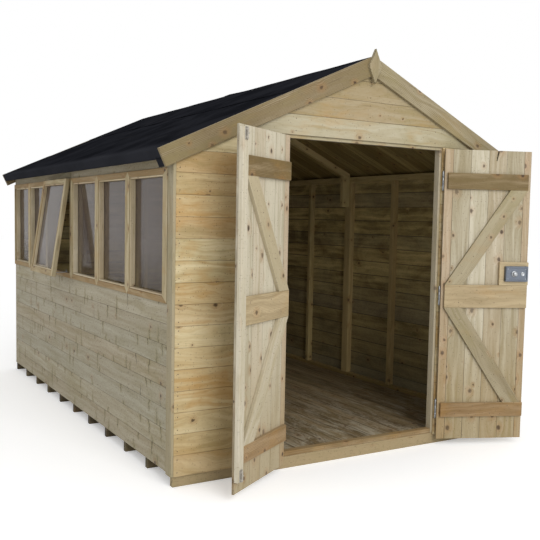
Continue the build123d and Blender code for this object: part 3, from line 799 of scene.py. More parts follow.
def glass_finish():
    """Clear sheet under a thin grey film that is thicker higher up, with dust and smears."""
    tones = bpy.context.scene.shed_colours
    s = Shader(bpy.data.materials.new("window glass"))
    place = s.place()
    _, _, height = s.split(place)
    smear = s.noise(s.scaled(place, 4.0, 7.0, 2.0), 1.0, 5.0, 0.65, 0.8)
    dust = s.noise(place, 14.0, 5.0, 0.7)
    s.body = s.mix(s.ease(dust * 0.5 + smear * 0.5, 0.4, 0.7) * 0.3, tones.glass, tint(108, 98, 93))
    gloss = s.ease(smear, 0.5, 0.85) * 0.15 + 0.04
    film = s.ease(smear * 0.6 + dust * 0.4, 0.35, 0.7, 0.95, 1.05)
    film = film * s.ease(height + smear * 0.2, 1.05, 1.4, 0.22, 0.58)
    return s.set(Base_Color=s.body, Roughness=gloss, Alpha=film, IOR=1.45, Specular_IOR_Level=0.4)


def finish(name):
    """A finish of the shed by its name, made on first use."""
    if name not in FINISHES:
        tones = bpy.context.scene.shed_colours
        if name in WOODS:
            title, _, _, settings = WOODS[name]
            made = wood(title, getattr(tones, f"{name}_pale"), getattr(tones, f"{name}_deep"), **settings)
        elif name in METALS:
            title, settings = METALS[name]
            made = metal(title, getattr(tones, name), **settings)
        else:
            made = felt_finish() if name == "felt" else glass_finish()
        FINISHES[name] = made
    return FINISHES[name]


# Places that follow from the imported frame


def slope():
    """Unit vector down the right slope of the roof and the slope's normal, from a rafter's corner points."""
    rafter = max(solids("roof_rafters"), key=lambda points: points[:, 0].max())
    outer = highest(rafter, 0)
    down = axis((outer[outer[:, 2].argmax()] - rafter[rafter[:, 2].argmax()]) * (1, 0, 1))
    return down, np.array((-down[2], 0.0, down[0]))


DOWN, LIFT = slope()


def handed(points, vector):
    """The vector as it is for a solid on the right, and mirrored for one on the left."""
    return vector if points[:, 0].mean() > 0 else vector * MIRROR


def sloped(node):
    """Beams down the slopes of the roof, one for each solid of a node."""
    return [beam(points, handed(points, DOWN), handed(points, LIFT)) for points in solids(node)]


class Leaf:
    """Frame of a door leaf at rest: the foot of its pin, the way along it from the hinge, and the way inwards."""

    def __init__(self, body):
        self.body = body
        joint = next(each for each in frame["joints"] if each["child"] == body)
        self.pin = np.array(joint["pos_m"]) * (1, 1, 0)
        corners = np.unique(solids(f"{body}_boards")[0][:, :2].round(5), axis=0)
        far = corners[np.linalg.norm(corners - self.pin[:2], axis=1).argmax()]
        near = corners[np.argsort(np.linalg.norm(corners - far, axis=1))[2]]
        self.along = axis(np.append(far - near, 0.0))
        ledge = (solids(f"{body}_ledges")[0].mean(0) - self.pin) * (1, 1, 0)
        self.inside = axis(ledge - self.along * (self.along @ ledge))

    def batch(self, name, outwards=False):
        """Batch whose axes go along the leaf, up, and out of its inner or outer face."""
        return Batch(name, self.pin, (self.along, Z, -self.inside if outwards else self.inside))

    def local(self, part):
        """Corner points of each solid of one of the leaf's nodes, along it, up and inwards."""
        axes = np.array((self.along, Z, self.inside))
        return [(points - self.pin) @ axes.T for points in solids(f"{self.body}_{part}")]


def add_nails(name, pieces, stations):
    """Two nails in each board at each station along it, on the board's outer face."""
    radius = bpy.context.scene.shed_sizes.nail_radius
    places = []
    for piece in pieces:
        near, far = max(piece.low[0], piece.high[0]), min(piece.low[1], piece.high[1])
        held = [each for each in stations if near + NAIL_MARGIN < each < far - NAIL_MARGIN]
        pair = piece.middle()[0] + np.array((-NAIL_SPREAD, NAIL_SPREAD)) * np.ptp(piece.across)
        flat = np.c_[np.repeat(held, 2), np.tile(pair, len(held))]
        places.append(at_level(flat, piece.through[1]) @ piece.axes)
    batch = Batch(name)
    add_heads(batch, np.concatenate(places), pieces[0].axes[2], radius, radius * NAIL_RISE)
    placed(batch.make("nail"), "steel")


class SHED_OT_floor(bpy.types.Operator):
    """Joists across the shed and floorboards along it"""

    bl_idname = "shed.floor"
    bl_label = "Floor"

    def execute(self, context):
        sizes = context.scene.shed_sizes
        # All joists but the front one are drawn near black, and the front one pale
        joists = sorted(beams("floor_joists", X, Y, 1.2, 0.2), key=lambda piece: piece.across[0])
        front = joists[0].stain(-0.5, 0.3)
        timbers("joists", joists, "joist", "floor_timber", "floor_joists")
        self.deck_edge(front.lot)
        deck = boards(solids("floor_deck")[0], Y, -X, sizes.floor_cover)
        for number, board in enumerate(deck):
            board.stain(0.5 + 0.22 * np.sin(number * 2.3), 0.4, 0.5 + 0.5 * np.sin(number * 1.1))
        timbers("floorboards", deck, "floor", "floor_timber", "floor_deck", radius=sizes.groove)
        add_nails("floor_nails", deck, [points[:, 1].mean() for points in solids("floor_joists")])
        return {"FINISHED"}

    def deck_edge(self, lot):
        """Thin strip over the deck's front edge, which shows the front joist's grain."""
        low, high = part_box("floor_deck")
        sill_low, sill_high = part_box("door_sill")
        axes, through = axes_of(X, Z), (-low.y, STRIP_THICKNESS - low.y)
        ends = (sill_low.x - STRIP_LAP, sill_high.x + STRIP_LAP)
        host = Beam(axes, (0.0, high.z), through, ends, ends).stain(*lot)
        edge = Beam(axes, (low.z - STRIP_BELOW, high.z), through, ends, ends, host)
        timbers("deck_edge_strip", [edge], "joist", "floor_timber", radius=STRIP_EDGE)


class SHED_OT_framing(bpy.types.Operator):
    """Plates, posts, studs, sill and header of the walls"""

    bl_idname = "shed.framing"
    bl_label = "Wall framing"

    def execute(self, context):
        bottom = [beam(points, long_way(points), Z, 1.4, 0.2) for points in solids("wall_bottom_plates")]
        top = [beam(points, long_way(points), Z) for points in solids("wall_top_plates")]
        timbers("wall_plates", bottom + top, "frame", "frame_timber", "wall_bottom_plates", "wall_top_plates")
        parts = (
            ("front_posts", Z, X, "strip", (0.8, 0.6)),
            ("back_studs", Z, X, "frame", ()),
            ("side_studs", Z, X, "frame", ()),
            ("door_header", X, Z, "gable", (0.5, 0.4)),
            ("door_sill", X, Y, "sash", (0.8, 0.85)),
        )
        for node, along, across, look, lot in parts:
            timbers(f"{node}_timber", beams(node, along, across, *lot), look, "frame_timber", node)
        return {"FINISHED"}


class SHED_OT_cladding(bpy.types.Operator):
    """Tongued and grooved boards of the four walls, with their nails"""

    bl_idname = "shed.cladding"
    bl_label = "Wall boards"

    def execute(self, context):
        sizes = context.scene.shed_sizes
        side_rows = [points[:, 1].mean() for points in solids("side_studs")]
        back_rows = [points[:, 0].mean() for points in solids("back_studs")]
        walls = (
            ("front_left", X, "front", ()),
            ("front_right", X, "front", ()),
            ("front_gable", X, "gable", (0.0, -0.5, 0.5)),
            ("back", -X, "side", back_rows),
            ("left_lower", -Y, "side", side_rows),
            ("left_upper", -Y, "side", side_rows),
            ("right", Y, "side", side_rows),
        )
        for wall, run, look, rows in walls:
            points = solids(f"{wall}_panel")[0]
            if wall == "left_upper":
                panel = self.round_window(points, sizes.board_cover)
            else:
                panel = boards(points, run, Z, sizes.board_cover)
            if look == "gable":
                for board in panel:
                    board.stain(0.8, 0.75)
                panel[0].stain(0.25, 0.3)
            timbers(f"{wall}_boards", panel, look, "cladding", f"{wall}_panel", radius=sizes.groove)
            ends = points @ run
            rows = (ends.min() + END_NAIL, ends.max() - END_NAIL, *np.multiply(rows, run.sum()))
            add_nails(f"{wall}_nails", panel, np.unique(np.round(rows, 3)))
        return {"FINISHED"}

    def round_window(self, points, cover):
        """Boards of the panel over the window and beside it."""
        low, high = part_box("window_posts")
        over, beside = points.copy(), points.copy()
        over[:, 2] = np.maximum(over[:, 2], high.z)
        beside[:, 2] = np.minimum(beside[:, 2], high.z)
        beside[:, 1] = np.minimum(beside[:, 1], low.y)
        return boards(over, -Y, Z, cover) + boards(beside, -Y, Z, cover)


class SHED_OT_roof(bpy.types.Operator):
    """Roof boards down the slopes, with their battens, rafters and truss blocks"""

    bl_idname = "shed.roof"
    bl_label = "Roof timbers"

    def execute(self, context):
        sizes = context.scene.shed_sizes
        lining = []
        for points in solids("roof_panels"):
            lining += boards(points, handed(points, DOWN), Y, sizes.roof_cover)
        for number, board in enumerate(lining):
            board.stain(1.5 + 0.4 * np.sin(number * 2.1), 0.4)
        timbers("roof_boards", lining, "inner", "frame_timber", "roof_panels", radius=sizes.groove)
        rafters = [rafter.stain(-0.5, 0.7) for rafter in sloped("roof_rafters")]
        timbers("rafters", rafters, "frame", "frame_timber", "roof_rafters")
        battens = [beam(points, Y, handed(points, LIFT)) for points in solids("eave_battens")]
        timbers("eave_batten_timber", battens, "frame", "frame_timber", "eave_battens")
        blocks = beams("truss_blocks", Z, X, -0.6, 0.3)
        timbers("truss_block_timber", blocks, "frame", "frame_timber", "truss_blocks")
        return {"FINISHED"}


class SHED_OT_felt(bpy.types.Operator):
    """Roofing felt: two eave courses folded down over the eaves and a ridge course over both"""

    bl_idname = "shed.felt"
    bl_label = "Felt"

    def execute(self, context):
        sizes = context.scene.shed_sizes
        courses = Batch("felt_eave_courses")
        barge = np.concatenate(solids("back_bargeboards"))
        rim = barge[barge[:, 2].argmax()] * (0, 0, 1) + (0, barge[:, 1].max(), 0)
        for points in solids("felt_side_courses"):
            down, up = handed(points, DOWN), handed(points, LIFT)
            courses.axes = np.array((down, up, Y))
            s, n = points @ down, points @ up
            levels = np.unique(n.round(4))
            thickness = levels[-1] - levels[-2]
            line = self.eave_line(s.min(), s.max() - thickness, n.min(), n.max() - thickness, sizes.felt_fold)
            path = self.path(points)
            add_sheet(courses, line, thickness, path, lambda s, y: self.lift(s * DOWN[0] + levels[-1] * LIFT[0], y))
            rows = np.arange(path[0] + EAVE_NAIL_START, path[-1], sizes.felt_nail_gap)
            skirt = np.c_[np.full((len(rows), 2), (s.max(), n.min() + EAVE_NAIL_LEVEL)), rows]
            add_heads(courses, skirt, X, sizes.felt_nail_radius, FELT_NAIL_RISE)
            drop = np.linspace(n.min() + FLAP_TUCK, n.min() - FLAP_DROP, 6)
            hang = np.c_[np.full(len(drop), s.max() - thickness), drop]
            add_sheet(courses, hang, thickness, path[0] + np.linspace(FLAP_START, sizes.felt_flap, 5))
            edge = at_level(np.linspace(0.0, s.max() - BACK_EAVE, 12), rim @ up)
            add_sheet(courses, edge, BACK_STRIP, np.linspace(path[-1] - BACK_LAP, rim[1] - BACK_INSET, 3))
        placed(courses.make("felt"), "felt", "felt_side_courses")
        self.ridge(sizes, thickness)
        return {"FINISHED"}

    def eave_line(self, top, eave, foot, level, fold):
        """Line down a slope, round a quarter circle at the eave and down the skirt."""
        turn = np.linspace(pi / 2, 0, 6)
        arc = np.c_[eave - fold + fold * np.cos(turn), level - fold + fold * np.sin(turn)]
        run = at_level(np.linspace(top, eave - fold, 26)[:-1], level)
        drop = np.linspace(level - fold, foot, 6)[1:]
        return np.concatenate((run, arc, np.c_[np.full(len(drop), eave), drop]))

    def ridge(self, sizes, thickness):
        """Ridge course: a line that rises to a rounded ridge and falls again, carried along the roof."""
        points = solids("felt_ridge_course")[0]
        batch = Batch("felt_ridge_sheet", axes=(X, Z, Y))
        level = np.unique((points @ LIFT).round(4))[-2] / LIFT[2]
        steep = -DOWN[2] / DOWN[0]
        x = np.linspace(points[:, 0].min(), points[:, 0].max(), 61)
        line = np.c_[x, level - steep * np.hypot(x, sizes.felt_fold * 0.6)]
        path = self.path(points)
        add_sheet(batch, line, thickness, path, lambda x, y: self.lift(x, y) + self.curl(x, y, x.max()))
        rows = np.arange(path[0] + RIDGE_NAIL_START, path[-1], sizes.felt_nail_gap)
        for side in (-1, 1):
            place = side * (points[:, 0].max() - RIDGE_NAIL_EDGE)
            rise = level + thickness / LIFT[2] - steep * abs(place) + self.lift(place, rows)
            heads = np.c_[np.full(len(rows), place), rise, rows]
            add_heads(batch, heads, (side * LIFT[0], LIFT[2], 0), sizes.felt_nail_radius, FELT_NAIL_RISE)
        placed(batch.make("felt"), "felt", "felt_ridge_course")

    def path(self, points):
        """Places along the roof, close together at the lap in the middle."""
        low, high = points[:, 1].min(), points[:, 1].max()
        return np.unique(np.concatenate((np.linspace(low, high, 70), np.linspace(-0.06, 0.14, 16))).round(5))

    def lift(self, x, y):
        """Height of the felt over the boards: slow waves, and a hump up to the lap in the middle of the length."""
        crest, wide, wave, eave = 0.006, 1.25, 0.0006, 1.28
        rise = np.clip((y + 0.5) / 0.49, 0, 1) ** 2 * (1 - np.clip((y + 0.01) / 0.09, 0, 1))
        hump = crest * rise * np.clip(1 - abs(x) / wide, 0, 1)
        return hump + wave * (2 + np.sin(5.1 * y + 6 * x) + np.sin(11.3 * y - 9 * x + 1.3)) * (abs(x) < eave)

    def curl(self, x, y, edge):
        """Lift of the sheet's lower edges, in waves along the lap."""
        wave, wide = 0.0011, 0.05
        return wave * np.clip((abs(x) - edge + wide) / wide, 0, 1) ** 2 * (1 + np.sin(7.7 * y + x * 3))


class SHED_OT_trim(bpy.types.Operator):
    """Corner strips, bargeboards and the diamond finial"""

    bl_idname = "shed.trim"
    bl_label = "Trim"

    def execute(self, context):
        strips = [beam(points, Z, long_way(points), -0.2, 0.3) for points in solids("corner_strips")]
        timbers("corner_strip_timber", strips, "trim", "trim", "corner_strips")
        for node in ("front_bargeboards", "back_bargeboards"):
            barge = sloped(node)
            for board in barge:
                board.stain(*((1.1, 0.6) if board.axes[0] @ X < 0 else (0.5, 0.2)))
            timbers(f"{node}_timber", barge, "trim", "trim", node)
        self.finial(context.scene.shed_sizes.arris)
        return {"FINISHED"}

    def finial(self, bevel):
        """Diamond plate with its tips blunted and its side corners rounded, by a quadratic curve at each tip."""
        low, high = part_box("gable_finial")
        middle = (low.z + high.z) / 2
        tips = np.array(((high.x, middle), (0, high.z), (low.x, middle), (0, low.z)))
        blunt = np.array((0.09, 0.015, 0.09, 0.015))[:, None]
        turn = np.array((0.0, 0.33, 0.67, 1.0))[:, None, None]
        start = tips + (np.roll(tips, 1, axis=0) - tips) * blunt
        end = tips + (np.roll(tips, -1, axis=0) - tips) * blunt
        curve = (1 - turn) ** 2 * start + 2 * turn * (1 - turn) * tips + turn**2 * end
        outline = np.roll(curve.transpose(1, 0, 2).reshape(-1, 2), 2, axis=0)
        batch = Batch("finial", (0, high.y, 0), (X, Z, -Y))
        add_plate(batch, outline, 0.0, high.y - low.y, bevel)
        batch.grain[0] = batch.points[0][:, [2, 0, 1]]
        placed(batch.make("trim"), "trim", "gable_finial")


class SHED_OT_windows(bpy.types.Operator):
    """Window frame, glazing beads, panes, the propped casement and its stay"""

    bl_idname = "shed.windows"
    bl_label = "Windows"

    def execute(self, context):
        sizes = context.scene.shed_sizes
        posts, rails = self.mitred(beams("window_posts", Z, Y, 0.1, 0.3), beams("window_rails", Y, Z, 1.0, 0.75))
        timbers("window_post_timber", posts, "sash", "window_timber", "window_posts", radius=MITRE_EDGE)
        timbers("window_rail_timber", rails, "sash", "window_timber", "window_rails")
        stiles = solids("casement_stiles")
        lean = self.lean(stiles[0])
        stile_timber, rail_timber = beams("casement_stiles", lean, Y), beams("casement_rails", Y, lean)
        timbers("casement_stile_timber", stile_timber, "sash", "window_timber", "casement_stiles")
        timbers("casement_rail_timber", rail_timber, "sash", "window_timber", "casement_rails")
        beads = []
        for points in solids("window_panes"):
            upright = np.ptp(points[:, 0]) < PANE_DEPTH
            up, deep = (Z, sizes.bead_depth) if upright else (lean, sizes.casement_bead)
            beads += self.beads(points, up, deep, sizes.bead_width)
        timbers("glazing_beads", beads, "bead", "window_timber", radius=BEAD_EDGE)
        for node, look in (("window_panes", "glass"), ("window_stay", "zinc")):
            mesh = frame["nodes"][node].data
            mesh.materials.clear()
            mesh.materials.append(finish(look))
        self.fittings(stiles)
        return {"FINISHED"}

    def mitred(self, posts, rails):
        """Posts cut to points and rails cut to slants where they meet.

        Each cut goes from a light's corner to the middle of the post, or to the outer edge of an end post.
        """
        posts.sort(key=lambda post: post.across[0])
        foot, head = posts[0].low
        tall = np.ptp(rails[0].across)
        inside, outside = (foot + tall, head - tall), (foot, head)
        meets = [sum(post.across) / 2 for post in posts]
        meets[0], meets[-1] = posts[0].across[0], posts[-1].across[1]
        halves = []
        for post, meet in zip(posts, meets):
            near, far = post.across
            if meet > near:
                halves.append(Beam(post.axes, (near, meet), post.through, inside, outside, post))
            if meet < far:
                halves.append(Beam(post.axes, (meet, far), post.through, outside, inside, post))
        for rail in rails:
            near, far = rail.low
            wide = max(meet for meet in meets if meet < near), min(meet for meet in meets if meet > far)
            if rail.across[0] < foot + NEAR:
                rail.low = wide
            else:
                rail.high = wide
        return halves, rails

    def lean(self, points):
        """Direction up a casement stile: from one corner, the third nearest corner of the same end is along it."""
        end = lowest(points, 1)
        gaps = end - end[0]
        edge = axis(gaps[np.argsort(np.linalg.norm(gaps, axis=1))[2]])
        return edge if edge[2] > 0 else -edge

    def beads(self, points, up, deep, width):
        """Four beads in front of a pane, along its edges and standing on its outer face."""
        axes, turned = axes_of(Y, up), axes_of(up, -Y)
        a, b, t = axes @ points.T
        through = (t.min() - deep, t.min())
        left, right, low, high = a.min(), a.max(), b.min(), b.max()
        height = (low + width, high - width)
        rows = ((low, low + width), (high - width, high))
        columns = ((-right, width - right), (-left - width, -left))
        made = [Beam(axes, span, through, (left, right), (left, right)) for span in rows]
        return made + [Beam(turned, span, through, height, height) for span in columns]

    def fittings(self, stiles):
        """Hinge barrels along the casement's head and the pegs that the stay hooks over."""
        batch = Batch("casement_fittings")
        radius, half, aside = 0.0035, 0.03, (-0.002, 0, 0.001)
        near, far = [points[points[:, 0].argmax()] for points in stiles]
        for share in (0.15, 0.85):
            add_turned(batch, near + (far - near) * share + aside, Y, barrel(radius, -half, half), 12)
        low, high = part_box("window_stay")
        middle, inset, sunk = (low.y + high.y) / 2, 0.012, 0.001
        for place in (high.x - inset, low.x + inset):
            add_turned(batch, (place, middle, high.z - sunk), Z, STAY_PEG, 12)
        placed(batch.make("zinc"), "steel")


def make_leaf(leaf, sizes, tone, free_lot, ledge_lots, brace_look, brace_lots):
    """Ledges, braces and nails of one leaf, with their lots from the top down; returns the leaf's boards."""
    body = leaf.body
    points = solids(f"{body}_boards")[0]
    side = 1 if np.cross(Z, leaf.along) @ leaf.inside > 0 else -1
    full, least = np.ptp(points @ leaf.along), 0.02
    widths = [sizes.door_edge]
    while sum(widths) + sizes.door_cover < full - least:
        widths.append(sizes.door_cover)
    widths.append(full - sum(widths))
    planks = boards(points, Z, side * leaf.along, widths[::side])
    from_hinge = planks[::side]
    for number, plank in enumerate(from_hinge):
        plank.stain(tone + 0.25 * np.sin(number * 1.9 + 0.6), 0.4 + 0.3 * np.sin(number * 2.7))
    from_hinge[0].stain(tone, 1.0)
    from_hinge[-1].stain(*free_lot)
    ledges = sorted(beams(f"{body}_ledges", leaf.along, Z), key=lambda piece: -piece.across[0])
    ledges = [ledge.stain(*lot) for ledge, lot in zip(ledges, ledge_lots)]
    timbers(f"{body}_ledge_timber", ledges, "ledge", "door_timber", f"{body}_ledges", body=body)
    braces = sorted(solids(f"{body}_braces"), key=lambda each: -each[:, 2].mean())
    braces = [slanted(each, leaf).stain(*lot) for each, lot in zip(braces, brace_lots)]
    timbers(f"{body}_brace_timber", braces, brace_look, "door_timber", f"{body}_braces", body=body)
    edges = np.cumsum(widths) + (points - leaf.pin).dot(leaf.along).min()
    rows = (edges - np.array(widths) / 2)[1:-1]
    stagger = np.where(np.arange(len(rows)) % 2, LEDGE_STAGGER, -LEDGE_STAGGER)
    places = []
    for ledge in leaf.local("ledges"):
        heights = ledge[:, 1].mean() + np.ptp(ledge[:, 1]) * stagger
        places.append(at_level(np.c_[rows, heights], ledge[:, 2].max()))
    share = np.array(BRACE_NAILS)[:, None]
    for brace in leaf.local("braces"):
        low, high = lowest(brace, 1).mean(0), highest(brace, 1).mean(0)
        places.append(at_level((low + share * (high - low))[:, :2], brace[:, 2].max()))
    batch = leaf.batch(f"{body}_nails")
    add_heads(batch, np.concatenate(places), Z, sizes.nail_radius, sizes.nail_radius * DOOR_NAIL_RISE)
    placed(batch.make("nail"), "steel", body=body)
    return planks


def slanted(points, leaf):
    """Beam along a slanted brace, whose long edges join the low cut to the high one."""
    run = axis(highest(points, 2).mean(0) - lowest(points, 2).mean(0))
    return beam(points, run, np.cross(leaf.inside, run))


def split_top(board, place, sizes, shift, inwards):
    """A board split down from its top: the whole board below, two pieces above with a wedge between them, and a dark
    sliver that closes the back of the wedge as painted shade in the gap."""
    top, half = board.low[1], sizes.split_gap / 2
    cut = top - sizes.split_depth
    below = Beam(board.axes, board.across, board.through, (board.low[0], cut), (board.high[0], cut), board)
    axes = axes_of(board.axes[1], board.axes[0])
    through = (-board.through[1], -board.through[0])
    foot, near, far, short = sizes.split_gap * 0.22, place + shift - half, place + shift + half, 0.002
    left, right = board.across
    first = Beam(axes, (cut, top), through, (left, place - foot), (left, near), board)
    second = Beam(axes, (cut, top), through, (place + foot, right), (far, right), board)
    inside = -board.middle()[1] + np.array((0.1, 0.4)) * np.ptp(through) * inwards
    # Dark sliver at the back of the wedge: painted shade in the gap
    gap_shade = Beam(axes, (cut, top - short), np.sort(inside), (place - foot, place + foot), (near, far)).stain(2.0, 0.0)
    for piece in (below, first, second, gap_shade):
        piece.end = SHARP
    return [below, first, second], [gap_shade]


class SHED_OT_left_door(bpy.types.Operator):
    """Left door: boards, ledges, braces and the closing strip"""

    bl_idname = "shed.left_door"
    bl_label = "Left door"

    def execute(self, context):
        sizes = context.scene.shed_sizes
        leaf = Leaf("left_door")
        ledge_lots, brace_lots = ((1.0, 0.2), (0.25, 0.6), (0.66, 0.85)), ((1.8, 0.4), (0.8, 0.4))
        planks = make_leaf(leaf, sizes, 0.0, (0.0, 0.3), ledge_lots, "strip", brace_lots)
        fixed = {"body": leaf.body}
        timbers("left_door_planks", planks, "door", "door_timber", "left_door_boards", radius=sizes.groove, **fixed)
        strip = beams("left_door_closing_strip", Z, leaf.along, 0.1, 0.2)
        timbers("closing_strip_timber", strip, "strip", "door_timber", "left_door_closing_strip", **fixed)
        return {"FINISHED"}


class SHED_OT_right_door(bpy.types.Operator):
    """Right door: boards with a split in one of them, ledges, braces and the lock block"""

    bl_idname = "shed.right_door"
    bl_label = "Right door"

    def execute(self, context):
        sizes = context.scene.shed_sizes
        leaf = Leaf("right_door")
        ledge_lots, brace_lots = ((1.0, 0.2), (0.25, 0.6), (0.78, 0.85)), ((0.1, 0.1), (0.4, 0.1))
        planks = make_leaf(leaf, sizes, 0.5, (0.5, 0.9), ledge_lots, "trim", brace_lots)
        _, across, through = planks[0].axes
        place = across @ (leaf.pin + leaf.along * sizes.split_place)
        broken = next(piece for piece in planks if piece.across[0] < place < piece.across[1])
        planks.remove(broken)
        shift = sizes.split_shift * np.sign(across @ leaf.along)
        split, gap_shade = split_top(broken, place, sizes, shift, np.sign(through @ leaf.inside))
        batch = Batch("right_door_planks")
        for piece in planks + split:
            add_beam(batch, piece, SHARP if piece in split else sizes.groove, sizes.bow)
        fixed = {"body": leaf.body}
        placed(batch.make("door"), "door_timber", "right_door_boards", **fixed)
        # The dark sliver behind the split is painted shade
        timbers("split_heart", gap_shade, "joist", "door_timber", radius=SHARP, **fixed)
        block = beams("right_door_lock_block", leaf.along, Z, 0.1, 0.3)
        timbers("lock_block_timber", block, "ledge", "door_timber", "right_door_lock_block", **fixed)
        return {"FINISHED"}


class SHED_OT_hinges(bpy.types.Operator):
    """Strap hinges on the doors and their plates on the posts"""

    bl_idname = "shed.hinges"
    bl_label = "Hinges"

    def execute(self, context):
        sizes = context.scene.shed_sizes
        leaves = [Leaf("left_door"), Leaf("right_door")]
        for leaf in leaves:
            batch = leaf.batch(f"{leaf.body}_strap_hinges", outwards=True)
            for points in leaf.local("hinges"):
                self.strap(batch, points * (1, 1, -1), sizes)
            placed(batch.make("zinc"), "steel", f"{leaf.body}_hinges", body=leaf.body)
        batch = Batch("hinge_post_plates")
        for points in solids("hinge_plates"):
            side = np.sign(points[:, 0].mean())
            pin = leaves[int(side > 0)].pin
            low, high = points.min(0), points.max(0)
            batch.origin = np.array((pin[0], high[1], (low[2] + high[2]) / 2))
            batch.axes = np.array((side * X, Z, -Y))
            self.plate(batch, high[2] - low[2], abs(points[:, 0]).max() - abs(pin[0]), high[1] - pin[1], sizes)
        placed(batch.make("zinc"), "steel", "hinge_plates")
        return {"FINISHED"}

    def screws(self, batch, spots, level, radius):
        """Screw heads at flat spots on a plate."""
        add_heads(batch, at_level(spots, level), Z, radius, SCREW_RISE, 10)

    def strap(self, batch, points, sizes):
        """Strap that narrows to a round tip, its knuckle and its screws."""
        middle = (points[:, 1].min() + points[:, 1].max()) / 2
        knuckle = np.ptp(points[:, 1]) / 2
        reach, base = points[:, 0].max(), points[:, 2].min()
        wide, slim = sizes.strap_wide / 2, sizes.strap_tip / 2
        turn = np.linspace(-pi / 2, pi / 2, 8)
        lower = np.array(((0.0, -wide), (0.02, -wide), (0.05, -wide), (reach * 0.5, -(wide + slim) / 2)))
        tip = np.c_[reach - slim + slim * np.cos(turn), slim * np.sin(turn)]
        outline = np.concatenate((lower, tip, lower[::-1] * (1, -1))) + (0, middle)
        add_plate(batch, outline, base, sizes.strap_thickness, EASE)
        add_turned(batch, (0, middle, 0), Y, barrel(sizes.pin_radius, -knuckle, knuckle), 20)
        spots = np.array(((0.035, 0.011), (0.035, -0.011), (0.13, 0), (0.23, 0), (reach - slim, 0))) + (0, middle)
        self.screws(batch, spots, base + sizes.strap_thickness, sizes.screw_radius)

    def plate(self, batch, tall, reach, stand, sizes):
        """Plate on the post with its lugs, knuckles, pin and screws."""
        radius, top, corner, blunt = sizes.pin_radius, tall / 2, 0.004, 0.001
        rod, edge = 0.6 * radius, 0.1 * radius
        outline = plate_outline((reach - radius, tall), corner, ((reach + radius) / 2, 0))
        add_plate(batch, outline, 0.0, sizes.strap_thickness, EASE)
        spots = ((0.02, 0.04), (0.02, -0.04), (0.038, 0.012), (0.038, -0.012))
        self.screws(batch, spots, sizes.strap_thickness, sizes.screw_radius)
        for side in (-1, 1):
            ends = tuple(sorted((side * KNUCKLE_GAP, side * (top - 2 * blunt))))
            add_turned(batch, (0, 0, stand), Y, barrel(radius, *ends), 20)
            lug = Beam(UPRIGHT, (0, stand), (radius - sizes.strap_thickness, radius), ends, ends)
            add_beam(batch, lug, edge)
        pin = ((2 * blunt, -top - blunt), (rod, -top), (rod, top), (2 * blunt, top + blunt))
        add_turned(batch, (0, 0, stand), Y, pin, 12)


class SHED_OT_bolts(bpy.types.Operator):
    """Barrel bolts at the head and foot of the closing strip"""

    bl_idname = "shed.bolts"
    bl_label = "Bolts"

    def execute(self, context):
        plate, corner, bevel = 0.0025, 0.003, 0.0006
        rod, blunt, sleeve, half, wide, apart = 0.0046, 0.001, 0.006, 0.005, 0.008, 0.019
        screws = np.array([(side, end) for side in (-0.011, 0.011) for end in (-0.008, 0.008)])
        leaf = Leaf("left_door")
        batch = leaf.batch("left_door_barrel_bolts")
        for points in leaf.local("bolts"):
            low, high = points.min(0), points.max(0)
            x, y = middle = ((low + high) / 2)[:2]
            stand = high[2] - sleeve
            add_plate(batch, plate_outline((high - low)[:2], corner, middle), low[2], plate, bevel)
            tip, foot, head = 2 * blunt, low[1] + blunt, high[1] - blunt
            shaft = ((tip, foot), (rod, foot + tip), (rod, head - tip), (tip, head))
            add_turned(batch, (x, 0, stand), Y, shaft)
            for place in (-apart, apart):
                ends = (y + place - half, y + place + half)
                add_turned(batch, (x, 0, stand), Y, barrel(sleeve, *ends))
                add_beam(batch, Beam(UPRIGHT, (low[2], stand), (x - wide, x + wide), ends, ends), blunt)
            add_turned(batch, (x, y, stand), -X, BOLT_KNOB, 14)
            add_heads(batch, at_level(screws + middle, low[2] + plate), Z, 0.0022, blunt)
        placed(batch.make("bolt"), "steel", "left_door_bolts", body=leaf.body)
        return {"FINISHED"}


class SHED_OT_lock(bpy.types.Operator):
    """Rim lock on the right door: case with a raised rim, face, knob and key disc"""

    bl_idname = "shed.lock"
    bl_label = "Lock"

    def execute(self, context):
        leaf = Leaf("right_door")
        points = leaf.local("lock")[0]
        low, high = lowest(points, 2).min(0), lowest(points, 2).max(0)
        centre, size, base = ((low + high) / 2)[:2], (high - low)[:2], low[2]
        depths = np.unique(points[:, 2].round(4))
        face = depths[depths < depths[-1] - 0.012].max()
        floor, seat, bevel, outside, inside = face - 0.004, face - 0.003, 0.0012, 0.005, 0.004
        x, y, _ = highest(points, 2).mean(0)
        case, plate, knob = (leaf.batch(f"lock_{part}") for part in ("case", "face", "knob"))
        add_plate(case, plate_outline(size, outside, centre), base, floor - base, bevel)
        outer, inner = plate_outline(size - 0.006, outside, centre), plate_outline(size - 0.022, inside, centre)
        add_rim(case, outer, inner, floor - 0.0005, face, bevel)
        add_plate(plate, plate_outline(size - 0.0225, inside, centre), floor - 0.0001, 0.0012, 0.0004)
        add_turned(knob, (x, y, floor), Z, LOCK_ROSE + LOCK_BALL, 28)
        add_turned(knob, (high[0] - 0.036, y, seat), Z, KEY_DISC, 24)
        spots = np.array([(side, end) for side in (-1, 1) for end in (-1, 1)]) * (size / 2 - 0.017) + centre
        add_heads(knob, at_level(spots, seat), Z, 0.003, 0.0012, 10)
        placed(case.make("lock"), "steel", "right_door_lock", body=leaf.body)
        placed(plate.make("lock"), "steel", body=leaf.body)
        placed(knob.make("zinc"), "steel", body=leaf.body)
        return {"FINISHED"}


